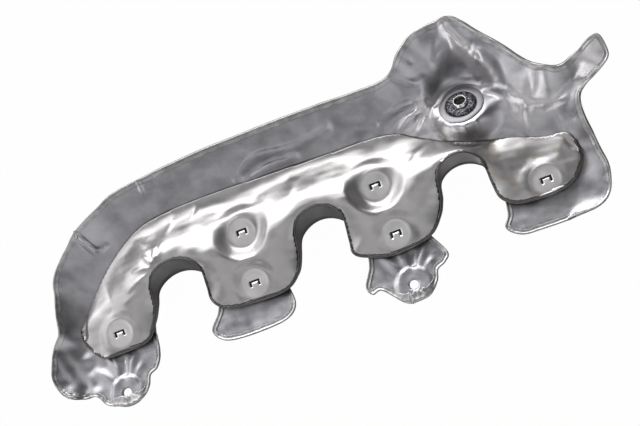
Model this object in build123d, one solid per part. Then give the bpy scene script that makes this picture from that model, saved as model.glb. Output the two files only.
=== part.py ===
"""Exhaust manifold heat shield: two stamped sheets and a vibration isolator.

The shield lies on a floor as it comes to rest, seen from the side that carries the liner.
X runs along the row of exhaust ports, Y from the fixing tabs towards the long rim, and Z up.
The outlines start from the first port's clinch disc. On export the origin moves to the fixing
hole of the left bolt tab, at the floor.
Each sheet has a formula for the height of its upper side over X and Y. The sheet is worked
out at places spread over its outline, and its lower side lies one thickness below, measured
square to the slope.
"""
from build123d import *
import os
import numpy as np
from scipy.spatial import Delaunay

# Driving dimensions, in millimetres
PORT_PITCH = 97.0        # from one exhaust port to the next
SHELL_SHEET = 0.8        # thickness of the outer shell
LINER_SHEET = 0.7        # thickness of the liner
SEAT_GAP = 0.05          # play between flat faces that touch
LINE_GAP = 0.8           # play between the two sheets along the liner's upper edge

# Height of the shell's rim above its tray
BAND_RISE = 31.0         # long band
PEAK_RISE = 45.0         # top of the hump
SADDLE_RISE = 34.0       # dip between the hump and the horn
HORN_RISE = 44.0         # tip of the horn
HORN_START = 34.0        # the horn starts this far to the right of the fourth port
HORN_Y = 30.0            # and this far across the part
HORN_RUN = 14.0          # it gets flat over this length
HORN_SINK = 1.5          # how far it lies below its rim
FLANGE_RISE = 15.0       # right flange
LOBE_RISE = 15.0         # left lobe
SKIRT_RISE = 3.0         # rim beside the flaps

# Places across the part
BAND_EDGE_Y = 93.0       # long rim
PEAK_Y = 111.0           # top of the hump
TRAY_EDGE_Y = 52.0       # where the flat tray turns up into the band
LINE_Y = 70.0            # upper edge of the liner
ARCH_CROWN_Y = 34.5      # crown of each arch
LEG_END_Y = -8.5         # lower end of the legs
LEG_SIDE_Y = 9.0         # where a leg's side passes into an arch
FLAP_END_Y = -26.0       # lower end of the plain flaps
TAB_END_Y = -43.5        # lower end of the bolt tabs

# Liner
LEG_EDGE_Z = 5.5         # upper side at the end of a leg
ARCH_EDGE_Z = 18.0       # upper side at the crown of an arch
LEG_CROWN_Z = 8.0        # middle of a leg at its end
LOG_CROWN_Z = 22.0       # highest part of the log above the arches
CLIMB_POWER = 1.4        # how soon the liner rises from its upper edge, 1 is evenly
SHOULDER = 20.0          # width over which the liner curves down to its edge
SHOULDER_POWER = 2.4     # how late it curves down, 1 is evenly
EDGE_CLIMB_Y = 4.0       # where the edge starts to rise from a leg's side to the arch
LAST_RUN = 24.0          # the liner gets flatter over this length at the last leg
LAST_LOW = 0.7           # share of its rise that it loses there
CORNER_RUN = 7.0         # at both ends of the upper line the edge rises from the shell over this run
WALL_FOOT_Z = 2.2        # lower end of the turned-down wall
LEG_FOOT_Z = 4.2         # lower end of that wall at the end of a leg
THIRD_FOOT_Z = 7.5       # lower end of that wall in the third arch
THIRD_RUN = 10.0         # that wall gets shorter over this length
WALL_DRAFT = 4.5         # how far that wall leans into an arch at its crown
WALL_PLAY = 0.8          # least gap between the wall and the shell below it
SHELL_INSET = 2.0        # the shell's edge lies this far behind the arches' wall

# Clinch discs that join the two sheets
DISC_R = 9.5             # flat of a disc
LOWER_DISC_Z = 9.0       # upper side of the first three lower discs
LAST_DISC_Z = 6.6        # upper side of the disc of the last leg
UPPER_DISC_Z = 11.5      # upper side of the two upper discs
LOWER_DISH = 6.5         # width of the slope round a lower disc
UPPER_DISH = 11.0        # width of the slope round an upper disc
UPPER_DISC_Y = 37.4      # place across the part of the first upper disc
DISC_TILT = 8.0          # lean of every disc away from the long rim, in degrees
CLINCH_R = 4.0           # flat top of the shell's boss under a disc
BOSS_FOOT = 4.0          # width of the slope round that boss
LANCE_WIDTH = 7.0        # lance cut through a disc, a square hook
LANCE_LENGTH = 4.0
LANCE_CUT = 1.2

# Folded rim and fixing holes
HEM_WIDTH = 3.0          # how far the rim is folded back over the sheet
HEM_SHEET = 0.8          # thickness of the folded layer
TAB_HOLE_R = 3.0         # fixing hole in each bolt tab

# Vibration isolator
ISO_Y = 64.6             # place across the part
ISO_SHIFT = -33.0        # place along the part, from the fourth port
ISO_Z = 15.0             # upper side of the shell's seat at the axis
ISO_TILT = 20.0          # lean of the axis towards the rim, in degrees
SEAT_R = 15.2            # flat seat on the shell
SEAT_STEEP = 8.0         # width of the slope round the seat, on the liner's side
SEAT_SOFT = 18.0         # width of that slope on the other side
SOFT_SIDE = (0.8, 0.6)   # direction from the axis in which the slope is widest
EYELET_R = 14.5          # outer edge of the dished plate
EYELET_SHEET = 0.9
EYELET_DROP = 4.0        # how far the plate's collar reaches below the seat
MESH_R = 9.6             # outer edge of the wire ring
MESH_HEIGHT = 6.0
MESH_RISE = 2.5          # how far the wire ring stands above the seat
SLEEVE_R = 4.45          # outer edge of the sleeve
BOLT_R = 3.5             # bore of the sleeve
SLEEVE_RISE = 4.6        # how far the sleeve stands above the seat
SLEEVE_FLANGE_R = 8.0
SLEEVE_FLANGE = 1.0
RING_PLAY = 0.05         # play between the wire ring and what holds it

# Spacing of the places where the sheets are worked out
EDGE_STEP = 5.0
SHELL_STEP = 7.0
LINER_STEP = 5.0
CREASE = 0.4             # half width of the step at the folded rim's inner edge

LEG = [i * PORT_PITCH for i in range(4)]
ISO_X = LEG[3] + ISO_SHIFT
# Each disc: its place, its height and the width of the slope round it
DISCS = [
    (LEG[0] - 2, 1.6, LOWER_DISC_Z, LOWER_DISH),
    (LEG[1] - 0.9, 2.6, LOWER_DISC_Z, LOWER_DISH),
    (LEG[2] - 1.1, 1.4, LOWER_DISC_Z, LOWER_DISH),
    (LEG[3], 2.0, LAST_DISC_Z, LOWER_DISH),
    (LEG[1] + 0.3, UPPER_DISC_Y, UPPER_DISC_Z, UPPER_DISH),
    (LEG[2] - 4, UPPER_DISC_Y - 2, UPPER_DISC_Z, UPPER_DISH),
]
TAB_X = [LEG[0] - 8.0, LEG[2] - 1.0]
TAB_HOLES = [(TAB_X[0] - 0.8, TAB_END_Y + 7.5), (TAB_X[1], TAB_END_Y + 12.0)]


# Outline points of the liner and the shell
def arch(left, right, spring_y, inset=0.0):
    """Half ellipse over the gap between two legs, from the right leg to the left one."""
    middle = (left + right) / 2
    half = (right - left) / 2 + inset
    height = ARCH_CROWN_Y - spring_y + inset
    return [
        (middle + half * np.cos(a), spring_y + height * np.sin(a))
        for a in np.radians([15, 40, 65, 90, 115, 140, 165])
    ]


ARCHES = [
    (LEG[0] + 27.5, LEG[1] - 31.5, 19.0),
    (LEG[1] + 34.0, LEG[2] - 28.5, 19.0),
    (LEG[2] + 34.5, LEG[3] - 31.5, 22.0),
]

LINER_TOP = [
    (LEG[0] - 30.5, 10.5),
    (LEG[0] - 27.5, 18),
    (LEG[0] - 16, 34),
    (LEG[0] - 1, 49.5),
    (LEG[0] + 18, LINE_Y - 7.5),
    (LEG[0] + 38, LINE_Y - 1),
    (LEG[1] - 20, LINE_Y + 1),
    (LEG[1] + 58, LINE_Y - 1),
    (LEG[2] + 11, LINE_Y - 4),
    (LEG[2] + 32, LINE_Y - 13),
    (LEG[3] - 40, 44),
    (LEG[3] - 14, 37),
    (LEG[3] + 7, 29),
    (LEG[3] + 20, 25.5),
    (LEG[3] + 24, 19),
]

LINER_COMB = [
    (LEG[3] + 24.5, 9),
    (LEG[3] + 20, 1.5),
    (LEG[3] + 12, LEG_END_Y + 3.5),
    (LEG[3] - 4, LEG_END_Y + 1.5),
    (LEG[3] - 21, LEG_END_Y + 3.5),
    (LEG[3] - 29.5, 1.5),
    (LEG[3] - 31.5, 12),
    *arch(*ARCHES[2]),
    (LEG[2] + 33, 16),
    (LEG[2] + 28.5, 5),
    (LEG[2] + 18, LEG_END_Y + 2.5),
    (LEG[2] - 4, LEG_END_Y - 1),
    (LEG[2] - 18, LEG_END_Y + 1.5),
    (LEG[2] - 30.5, -1),
    (LEG[2] - 31, 8),
    *arch(*ARCHES[1]),
    (LEG[1] + 31.5, 10),
    (LEG[1] + 27, 0),
    (LEG[1] + 16, LEG_END_Y + 1),
    (LEG[1] - 10, LEG_END_Y + 1),
    (LEG[1] - 26, LEG_END_Y + 4),
    (LEG[1] - 33, 3),
    (LEG[1] - 33, 12),
    *arch(*ARCHES[0]),
    (LEG[0] + 26, 13),
    (LEG[0] + 21, 1),
    (LEG[0] + 14, LEG_END_Y + 0.5),
    (LEG[0] - 6, LEG_END_Y - 1.5),
    (LEG[0] - 19, LEG_END_Y),
    (LEG[0] - 28, 2),
]


def bolt_tab(x, end_y):
    """Round end of a bolt tab, from its right ear to its lower left side."""
    return [
        (x + 26, end_y + 24),
        (x + 22.5, end_y + 18.5),
        (x + 17, end_y + 15.5),
        (x + 14.5, end_y + 9),
        (x + 8, end_y + 2),
        (x - 1, end_y),
        (x - 9, end_y + 2.5),
    ]


LOBE_RIM = [
    (LEG[0] - 25, TAB_END_Y + 4.5),
    (LEG[0] - 31, TAB_END_Y + 12),
    (LEG[0] - 40, TAB_END_Y + 13),
    (LEG[0] - 50, TAB_END_Y + 18),
    (LEG[0] - 55, TAB_END_Y + 30),
    (LEG[0] - 49.5, 5),
    (LEG[0] - 42, 14),
    (LEG[0] - 41, 26),
    (LEG[0] - 39, 38),
    (LEG[0] - 34, 52),
    (LEG[0] - 23, 65),
    (LEG[0] - 9, 75.5),
    (LEG[0] + 10, 84.5),
]

BAND_RIM = [
    (LEG[0] + 32, BAND_EDGE_Y - 3),
    (LEG[1] - 35, BAND_EDGE_Y - 1),
    (LEG[1] - 8, BAND_EDGE_Y + 0.5),
    (LEG[1] + 30, BAND_EDGE_Y + 1),
    (LEG[2] - 28, BAND_EDGE_Y + 0.5),
    (LEG[2] + 2, BAND_EDGE_Y - 1),
    (LEG[2] + 20, BAND_EDGE_Y - 1.5),
]

HUMP_RIM = [
    (LEG[2] + 31, PEAK_Y - 16),
    (LEG[2] + 40, PEAK_Y - 8),
    (LEG[2] + 51, PEAK_Y - 1),
    (LEG[3] - 30, PEAK_Y - 0.5),
    (LEG[3] - 21, PEAK_Y - 1),
    (LEG[3] - 15, PEAK_Y - 7),
    (LEG[3] - 3, PEAK_Y - 22),
    (LEG[3] + 9, PEAK_Y - 38),
    (LEG[3] + 18, PEAK_Y - 48),
    (LEG[3] + 29, PEAK_Y - 53),
    (LEG[3] + 39, PEAK_Y - 51.5),
    (LEG[3] + 49, PEAK_Y - 47),
    (LEG[3] + 56, PEAK_Y - 46),
    (LEG[3] + 58.5, PEAK_Y - 52),
    (LEG[3] + 58, PEAK_Y - 60),
    (LEG[3] + 52, PEAK_Y - 64.5),
    (LEG[3] + 41, PEAK_Y - 67),
    (LEG[3] + 35, PEAK_Y - 73),
]

FLANGE_RIM = [
    (LEG[3] + 34, 26),
    (LEG[3] + 36, 8),
    (LEG[3] + 37, -5),
    (LEG[3] + 33, FLAP_END_Y + 9),
    (LEG[3] + 24, FLAP_END_Y + 2.5),
    (LEG[3] + 9, FLAP_END_Y + 1),
    (LEG[3] - 12, FLAP_END_Y + 1),
    (LEG[3] - 25, FLAP_END_Y + 2),
    (LEG[3] - 33, FLAP_END_Y + 9),
    (LEG[3] - 29, FLAP_END_Y + 17),
]

SECOND_FLAP_RIM = [
    (LEG[1] + 18, LEG_END_Y + 4),
    (LEG[1] + 19.5, FLAP_END_Y + 10),
    (LEG[1] + 15, FLAP_END_Y + 3),
    (LEG[1] + 4, FLAP_END_Y),
    (LEG[1] - 20, FLAP_END_Y - 0.5),
    (LEG[1] - 33, FLAP_END_Y + 2),
    (LEG[1] - 39, FLAP_END_Y + 10),
    (LEG[1] - 33, FLAP_END_Y + 19),
    (LEG[1] - 30, LEG_END_Y + 8),
]

# The hem follows these three stretches of the shell's outline, each clockwise
MAIN_RIM = [
    (LEG[0] + 19.5, LEG_END_Y + 4),
    (LEG[0] + 19.5, -13.5),
    *bolt_tab(TAB_X[0], TAB_END_Y - 1.5),
    *LOBE_RIM,
    *BAND_RIM,
    *HUMP_RIM,
    *FLANGE_RIM,
    (LEG[3] - 27, 6),
]
THIRD_TAB_RIM = [
    (LEG[2] + 18, LEG_END_Y + 4),
    *bolt_tab(TAB_X[1], TAB_END_Y + 1),
    (LEG[2] - 21.5, TAB_END_Y + 15.5),
    (LEG[2] - 28, TAB_END_Y + 15),
    (LEG[2] - 30.5, TAB_END_Y + 21),
    (LEG[2] - 25, LEG_END_Y - 3),
    (LEG[2] - 23, LEG_END_Y + 6),
]
SHELL_OUTLINE = [
    *MAIN_RIM,
    *arch(*ARCHES[2], SHELL_INSET),
    (LEG[2] + 27, 8),
    *THIRD_TAB_RIM,
    (LEG[2] - 27, 8),
    *arch(*ARCHES[1], SHELL_INSET),
    (LEG[1] + 27, 8),
    *SECOND_FLAP_RIM,
    (LEG[1] - 29, 8),
    *arch(*ARCHES[0], SHELL_INSET),
    (LEG[0] + 22, 9),
]

# Edge of the flat tray, where the shell turns up
TRAY = [
    (LEG[0] - 26, TAB_END_Y - 20),
    (LEG[0] - 26, LEG_END_Y),
    (LEG[0] - 26, 4),
    (LEG[0] - 18, 15),
    (LEG[0] - 4, 27),
    (LEG[0] + 12, 38),
    (LEG[0] + 28, TRAY_EDGE_Y - 6),
    (LEG[0] + 44, TRAY_EDGE_Y - 2),
    (LEG[1] - 20, TRAY_EDGE_Y),
    (LEG[1] + 40, TRAY_EDGE_Y),
    (LEG[2] - 10, TRAY_EDGE_Y - 3),
    (LEG[2] + 20, TRAY_EDGE_Y - 10),
    (LEG[2] + 40, 35),
    (LEG[3] - 36, 30),
    (LEG[3] - 12, 16),
    (LEG[3] + 8, 11),
    (LEG[3] + 18, 6),
    (LEG[3] + 15, LEG_END_Y),
    (LEG[3] - 2, FLAP_END_Y - 10),
    (LEG[3] - 2, TAB_END_Y - 20),
]

# Places on the rim and the rim's height above the tray there
RIM_STATIONS = [
    (LEG[0] - 12, TAB_END_Y, 0.0),
    (LEG[0] - 31, TAB_END_Y + 12, SKIRT_RISE),
    (LEG[0] - 50, TAB_END_Y + 18, LOBE_RISE / 2),
    (LEG[0] - 53, -4, LOBE_RISE * 0.75),
    (LEG[0] - 41, 26, LOBE_RISE),
    (LEG[0] - 29, 60, LOBE_RISE + 5),
    (LEG[0] - 2, 79, BAND_RISE - 6),
    (LEG[0] + 30, BAND_EDGE_Y - 3, BAND_RISE - 2),
    (LEG[1] - 20, BAND_EDGE_Y, BAND_RISE),
    (LEG[1] + 40, BAND_EDGE_Y, BAND_RISE),
    (LEG[2] - 10, BAND_EDGE_Y, BAND_RISE),
    (LEG[2] + 20, BAND_EDGE_Y, BAND_RISE + 1),
    (LEG[2] + 42, PEAK_Y - 6, PEAK_RISE - 4),
    (LEG[3] - 21, PEAK_Y, PEAK_RISE),
    (LEG[3] - 1, PEAK_Y - 25, PEAK_RISE - 4),
    (LEG[3] + 18, PEAK_Y - 48, SADDLE_RISE + 2),
    (LEG[3] + 29, PEAK_Y - 53, SADDLE_RISE),
    (LEG[3] + 41, PEAK_Y - 50, (SADDLE_RISE + HORN_RISE) / 2),
    (LEG[3] + 56, PEAK_Y - 46, HORN_RISE),
    (LEG[3] + 57, PEAK_Y - 58, HORN_RISE - 4),
    (LEG[3] + 38, PEAK_Y - 69, (SADDLE_RISE + FLANGE_RISE) / 2),
    (LEG[3] + 34, 26, FLANGE_RISE + 4),
    (LEG[3] + 36, 2, FLANGE_RISE - 4),
    (LEG[3] + 30, FLAP_END_Y + 6, SKIRT_RISE),
    (LEG[3] + 9, FLAP_END_Y + 1, SKIRT_RISE),
    (LEG[3] - 12, FLAP_END_Y + 1, 0.0),
]
STATION_BLUR = 9.0       # distance over which the rim's height passes from station to station


# Formulas
def smooth(t):
    """0 below 0, 1 above 1, with a level start and end."""
    t = np.clip(t, 0.0, 1.0)
    return t * t * (3 - 2 * t)


def curve(points, step, closed=True):
    """Smooth line through the points (Catmull-Rom), as places about one step apart."""
    p = np.array(points, float)
    if closed:
        p = np.vstack([p[-1:], p, p[:2]])
    else:
        p = np.vstack([2 * p[:1] - p[1:2], p, 2 * p[-1:] - p[-2:-1]])
    line = []
    for a, b, c, d in zip(p, p[1:], p[2:], p[3:]):
        count = max(1, round(float(np.hypot(*(c - b))) / step))
        t = (np.arange(count) / count)[:, None]
        start = (c - a) / 2
        bend = a - 2.5 * b + 2 * c - d / 2
        twist = 1.5 * (b - c) + (d - a) / 2
        line.append(b + t * start + t**2 * bend + t**3 * twist)
    if not closed:
        line.append(p[-2:-1])
    return np.vstack(line)


def distance(x, y, line):
    """Distance from each place to the nearest point of a chain of straight runs."""
    place = np.stack([x, y], -1)
    nearest = np.full(place.shape[:-1], np.inf)
    for a, b in zip(line[:-1], line[1:]):
        run = b - a
        along = np.clip((place - a) @ run / (run @ run), 0.0, 1.0)
        nearest = np.minimum(nearest, np.hypot(*(place - a - along[..., None] * run).T).T)
    return nearest


def inside(x, y, loop):
    """True inside a closed line, by counting the runs to the right of each place."""
    count = np.zeros(np.shape(x), int)
    for (ax, ay), (bx, by) in zip(loop, np.roll(loop, -1, axis=0)):
        if ay != by:
            count += ((ay > y) != (by > y)) & (x < ax + (bx - ax) * (y - ay) / (by - ay))
    return count % 2 == 1


def loop(points):
    """A smooth closed line that ends where it starts."""
    line = curve(points, EDGE_STEP)
    return np.vstack([line, line[:1]])


SHELL_LINE = loop(SHELL_OUTLINE)
TRAY_LINE = loop(TRAY)
LINER_LINE = loop(LINER_TOP + LINER_COMB)
TOP_LINE = curve(LINER_TOP, EDGE_STEP, closed=False)
COMB_LINE = curve(LINER_TOP[-1:] + LINER_COMB + LINER_TOP[:1], EDGE_STEP, closed=False)
HEM_LINES = [curve(rim, EDGE_STEP, closed=False) for rim in (MAIN_RIM, SECOND_FLAP_RIM, THIRD_TAB_RIM)]


def rim_height(x, y):
    """Average of the heights at the rim's stations, each weighted by its nearness."""
    total = 0.0
    weights = 0.0
    for x0, y0, rise in RIM_STATIONS:
        weight = ((x - x0) ** 2 + (y - y0) ** 2 + STATION_BLUR**2) ** -2.0
        total = total + weight * rise
        weights = weights + weight
    return total / weights


def disc_height(y, cy, level):
    """A disc's flat rises towards the long rim."""
    return level + (y - cy) * np.tan(np.radians(DISC_TILT))


def steepness(field, x, y):
    """Length along the slope of a field for each unit of length in the plan."""
    slope_x = field(x + 0.5, y) - field(x - 0.5, y)
    slope_y = field(x, y + 0.5) - field(x, y - 0.5)
    return np.sqrt(1 + slope_x**2 + slope_y**2)


def shell_height(x, y):
    """From the tray's edge to the rim the shell rises like a quarter of a cosine wave.

    The horn is flatter: it lies just below its rim.
    """
    out = np.where(inside(x, y, TRAY_LINE), 0.0, distance(x, y, TRAY_LINE))
    edge = distance(x, y, HEM_LINES[0])
    part = out / (out + edge + 1e-6)
    z = SHELL_SHEET + rim_height(x, y) * (1 - np.cos(np.pi / 2 * part))
    horn = smooth((x - LEG[3] - HORN_START) / HORN_RUN) * smooth((y - HORN_Y) / HORN_RUN)
    z += (SHELL_SHEET + rim_height(x, y) - HORN_SINK - z) * horn
    seat = ISO_Z - (y - ISO_Y) * np.tan(np.radians(ISO_TILT))
    reach = np.hypot(x - ISO_X, y - ISO_Y)
    facing = ((x - ISO_X) * SOFT_SIDE[0] + (y - ISO_Y) * SOFT_SIDE[1]) / (reach + 1e-6)
    slope = SEAT_STEEP + (SEAT_SOFT - SEAT_STEEP) * smooth((1 + facing) / 2)
    z += (seat - z) * (1 - smooth((reach - SEAT_R) / slope))
    sheet = LINER_SHEET / np.cos(np.radians(DISC_TILT)) + SEAT_GAP
    for cx, cy, level, _ in DISCS:
        share = 1 - smooth((np.hypot(x - cx, y - cy) - CLINCH_R) / BOSS_FOOT)
        z += (disc_height(y, cy, level) - sheet - z) * share
    return z


def liner_height(x, y):
    """The liner lies on the shell at its upper edge and bulges into a log and four legs."""
    low = distance(x, y, COMB_LINE)
    top = distance(x, y, TOP_LINE)
    run = CORNER_RUN * (1 - smooth(low / SHOULDER)) + 1e-3
    share = (1 - (low / (top + low + 1e-6)) ** CLIMB_POWER) * smooth(top / run)
    climb = smooth((y - LEG_END_Y) / (ARCH_CROWN_Y - LEG_END_Y))
    edge_climb = smooth((y - EDGE_CLIMB_Y) / (ARCH_CROWN_Y - EDGE_CLIMB_Y))
    keep = 1 - LAST_LOW * smooth((x - ARCHES[2][1]) / LAST_RUN + 0.5)
    edge = LEG_EDGE_Z + (ARCH_EDGE_Z - LEG_EDGE_Z) * edge_climb * keep
    crown = LEG_CROWN_Z + (LOG_CROWN_Z - LEG_CROWN_Z) * climb * keep
    depth = np.minimum(low / SHOULDER, 1.0)
    seat = shell_height(x, y) + LINER_SHEET * steepness(shell_height, x, y) + LINE_GAP
    z = seat + np.maximum(edge + (crown - edge) * (1 - (1 - depth) ** SHOULDER_POWER) - seat, 0.0) * share
    for cx, cy, level, dish in DISCS:
        share = 1 - smooth((np.hypot(x - cx, y - cy) - DISC_R) / dish)
        z += (disc_height(y, cy, level) - z) * share
    return z


def wall_foot(x, y):
    """Height of the lower end of the liner's turned-down wall."""
    in_third = smooth((x - ARCHES[2][0] + SHELL_INSET) / SHELL_INSET)
    in_third *= smooth((ARCHES[2][1] + SHELL_INSET - x) / SHELL_INSET) * smooth((y - LEG_SIDE_Y) / THIRD_RUN)
    foot = WALL_FOOT_Z + (THIRD_FOOT_Z - WALL_FOOT_Z) * in_third
    foot += (LEG_FOOT_Z - WALL_FOOT_Z) * (1 - smooth((y - LEG_END_Y) / (LEG_SIDE_Y - LEG_END_Y)))
    return np.maximum(foot, shell_height(x, y) + WALL_PLAY)


def hem_height(x, y):
    """The folded layer stands on the sheet from the rim to the hem's inner edge."""
    edge = np.min([distance(x, y, line) for line in HEM_LINES], axis=0)
    return HEM_SHEET * (edge < HEM_WIDTH)


def under_height(field, x, y, sheet):
    """Height of the lower side, one thickness below the upper one along the slope."""
    return field(x, y) - sheet * steepness(field, x, y)


# Places and triangles
def circle(cx, cy, radius, step):
    """Places evenly round a circle."""
    count = max(10, round(2 * np.pi * radius / step))
    a = 2 * np.pi * np.arange(count) / count
    return np.stack([cx + radius * np.cos(a), cy + radius * np.sin(a)], -1)


def inset(line, depth, clear):
    """Places at a depth inside a clockwise line, without those that a bend has pushed together."""
    run = np.roll(line, -1, axis=0) - np.roll(line, 1, axis=0)
    side = np.stack([run[:, 1], -run[:, 0]], -1) / np.hypot(*run.T)[:, None]
    moved = line + depth * side
    ring = np.vstack([line, line[:1]])
    good = distance(*moved.T, ring) > 0.93 * depth
    kept = []
    for place in moved[good & inside(*moved.T, line)]:
        if all(np.hypot(*(place - other)) > clear for other in kept[-12:]):
            kept.append(place)
    return np.array(kept)


def triangles(outline, fixed, step, holes=()):
    """Places over an outline and the triangles between them, counter-clockwise from above."""
    low, high = outline.min(0), outline.max(0)
    row = step * np.sqrt(3) / 2
    y, x = np.meshgrid(np.arange(low[1], high[1], row), np.arange(low[0], high[0], step), indexing="ij")
    x = x + step / 2 * (np.arange(len(x)) % 2)[:, None]
    places = np.vstack([outline, *holes, *fixed])
    loose = np.stack([x.ravel(), y.ravel()], -1)
    loose = loose[inside(*loose.T, outline)]
    gap = np.min([np.hypot(*(loose - place).T) for place in places], axis=0)
    places = np.vstack([places, loose[gap > 0.62 * step]])
    corners = Delaunay(places).simplices
    a, b, c = (places[corners[:, k]] for k in range(3))
    turn = (b[:, 0] - a[:, 0]) * (c[:, 1] - a[:, 1]) - (b[:, 1] - a[:, 1]) * (c[:, 0] - a[:, 0])
    corners = np.where(turn[:, None] > 0, corners, corners[:, ::-1])
    middle = (a + b + c) / 3
    keep = inside(*middle.T, outline) & (np.abs(turn) > 1e-3)
    for hole in holes:
        keep &= ~inside(*middle.T, hole)
    return places, corners[keep]


def sheet_solid(places, corners, top_z, lower, foot):
    """Closed solid from the upper side, the lower side and a wall round every open edge.

    lower holds the places and heights of the lower side, and foot the two lower corners of
    the wall at each place. Where there is no wall, both are the lower side's own point.
    """
    upper = np.column_stack([places, top_z])
    used, corners = np.unique(corners, return_inverse=True)
    corners = corners.reshape(-1, 3)
    points = [upper[used], lower[used], foot[0][used], foot[1][used]]
    count = len(used)
    tris = [corners, corners[:, ::-1] + count]
    edges = np.vstack([corners[:, [0, 1]], corners[:, [1, 2]], corners[:, [2, 0]]])
    known = {(a, b) for a, b in edges.tolist()}
    open_edges = np.array([(a, b) for a, b in edges.tolist() if (b, a) not in known])
    a, b = open_edges.T
    for here, there in ((0, 2), (2, 3), (3, 1)):
        shift, next_shift = here * count, there * count
        tris.append(np.stack([a + shift, a + next_shift, b + next_shift], -1))
        tris.append(np.stack([a + shift, b + next_shift, b + shift], -1))
    cloud = np.round(np.vstack(points), 5)
    cloud, same = np.unique(cloud, axis=0, return_inverse=True)
    tris = same.ravel()[np.vstack(tris)]
    tris = tris[(tris[:, 0] != tris[:, 1]) & (tris[:, 1] != tris[:, 2]) & (tris[:, 2] != tris[:, 0])]
    corner = [Vector(*place) for place in cloud]
    faces = [Face(Wire.make_polygon([corner[i] for i in tri], close=True)) for tri in tris]
    return Solid(Shell(faces))


# Pieces
def outer_shell():
    """Hemmed shell: a flat tray with flaps, a rising band, and six bosses under the discs."""
    outline = SHELL_LINE[:-1]
    rings = [inset(outline, HEM_WIDTH + side * CREASE, EDGE_STEP * 0.45) for side in (-1, 1)]
    for cx, cy, _, _ in DISCS:
        rings.append(circle(cx, cy, CLINCH_R, EDGE_STEP))
        rings.append(circle(cx, cy, CLINCH_R + BOSS_FOOT, EDGE_STEP))
    rings.append(circle(ISO_X, ISO_Y, SEAT_R, EDGE_STEP))
    rings.append(TOP_LINE[distance(*TOP_LINE.T, rings[-1]) > EDGE_STEP / 2])
    rings = [ring[inside(*ring.T, outline)] for ring in rings]
    places, corners = triangles(outline, rings, SHELL_STEP)
    x, y = places.T
    lower = np.column_stack([places, under_height(shell_height, x, y, SHELL_SHEET)])
    top_z = shell_height(x, y) + hem_height(x, y)
    solid = sheet_solid(places, corners, top_z, lower, (lower, lower))
    for hole_x, hole_y in TAB_HOLES:
        solid -= Pos(hole_x, hole_y, 0) * Cylinder(TAB_HOLE_R, 20)
    return solid - isolator_place() * Cylinder(MESH_R + 2 * RING_PLAY + EYELET_SHEET, 20)


def lance(cx, cy):
    """Square hook cut through a disc, round a small tongue."""
    w, l, c = LANCE_WIDTH / 2, LANCE_LENGTH / 2, LANCE_CUT
    hook = [(-w, -l), (-w, l), (w, l), (w, -l), (w - c, -l), (w - c, l - c), (c - w, l - c), (c - w, -l)]
    return np.array(hook) + (cx, cy)


def liner():
    """Comb-shaped liner with a turned-down wall along its legs and arches."""
    outline = LINER_LINE[:-1]
    rings = []
    for cx, cy, _, dish in DISCS:
        rings.append(circle(cx, cy, DISC_R, EDGE_STEP * 0.7))
        rings.append(circle(cx, cy, DISC_R + dish, EDGE_STEP))
    rings = [ring[inside(*ring.T, outline)] for ring in rings]
    rings = [ring[distance(*ring.T, LINER_LINE) > LINER_SHEET * 2] for ring in rings]
    holes = [lance(cx, cy) for cx, cy, _, _ in DISCS]
    places, corners = triangles(outline, rings, LINER_STEP, holes)
    x, y = places.T
    run = np.roll(outline, -1, axis=0) - np.roll(outline, 1, axis=0)
    side = np.stack([run[:, 1], -run[:, 0]], -1) / np.hypot(*run.T)[:, None]
    walled = np.zeros(len(places), bool)
    walled[:len(outline)] = distance(*outline.T, TOP_LINE) > EDGE_STEP / 2
    inner = places.copy()
    inner[:len(outline)] += side * LINER_SHEET * walled[:len(outline), None]
    lower = np.column_stack([inner, under_height(liner_height, *inner.T, LINER_SHEET)])
    lean = [0.0, -WALL_DRAFT] * smooth((y - LEG_SIDE_Y) / (ARCH_CROWN_Y - LEG_SIDE_Y))[:, None]
    foot_z = wall_foot(x, y)
    outer_foot = np.where(walled[:, None], np.column_stack([places + lean, foot_z]), lower)
    inner_foot = np.where(walled[:, None], np.column_stack([inner + lean, foot_z]), lower)
    return sheet_solid(places, corners, liner_height(x, y), lower, (outer_foot, inner_foot))


def isolator_place():
    """The isolator's axis stands on the seat and leans towards the rim."""
    return Pos(ISO_X, ISO_Y, ISO_Z) * Rot(X=-ISO_TILT)


def turned(profile):
    """Solid of revolution about the isolator's axis from radius and height pairs."""
    face = Plane.XZ * make_face(Polyline(*profile, close=True))
    return isolator_place() * revolve(face, Axis.Z)


def isolator_eyelet():
    """Round plate on the seat, with a collar turned down through the shell."""
    hole = MESH_R + RING_PLAY
    top = SEAT_GAP + EYELET_SHEET
    return turned([
        (hole, top),
        (EYELET_R - EYELET_SHEET / 2, top),
        (EYELET_R, top - EYELET_SHEET / 2),
        (EYELET_R, SEAT_GAP),
        (hole + EYELET_SHEET, SEAT_GAP),
        (hole + EYELET_SHEET, -EYELET_DROP),
        (hole, -EYELET_DROP),
    ])


def isolator_mesh():
    """Pressed ring of knitted wire with rounded edges."""
    hole = SLEEVE_R + RING_PLAY
    top = MESH_RISE
    foot = MESH_RISE - MESH_HEIGHT
    bevel = MESH_HEIGHT / 6
    return turned([
        (hole, foot),
        (hole, top - bevel / 2),
        (hole + bevel, top),
        (MESH_R - bevel, top),
        (MESH_R, top - bevel),
        (MESH_R, foot),
    ])


def isolator_sleeve():
    """Spacer sleeve with a flange behind the wire ring."""
    flange = MESH_RISE - MESH_HEIGHT - RING_PLAY
    return turned([
        (BOLT_R, flange - SLEEVE_FLANGE),
        (BOLT_R, SLEEVE_RISE),
        (SLEEVE_R, SLEEVE_RISE),
        (SLEEVE_R, flange),
        (SLEEVE_FLANGE_R, flange),
        (SLEEVE_FLANGE_R, flange - SLEEVE_FLANGE),
    ])


PIECES = [outer_shell, liner, isolator_eyelet, isolator_mesh, isolator_sleeve]

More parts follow.
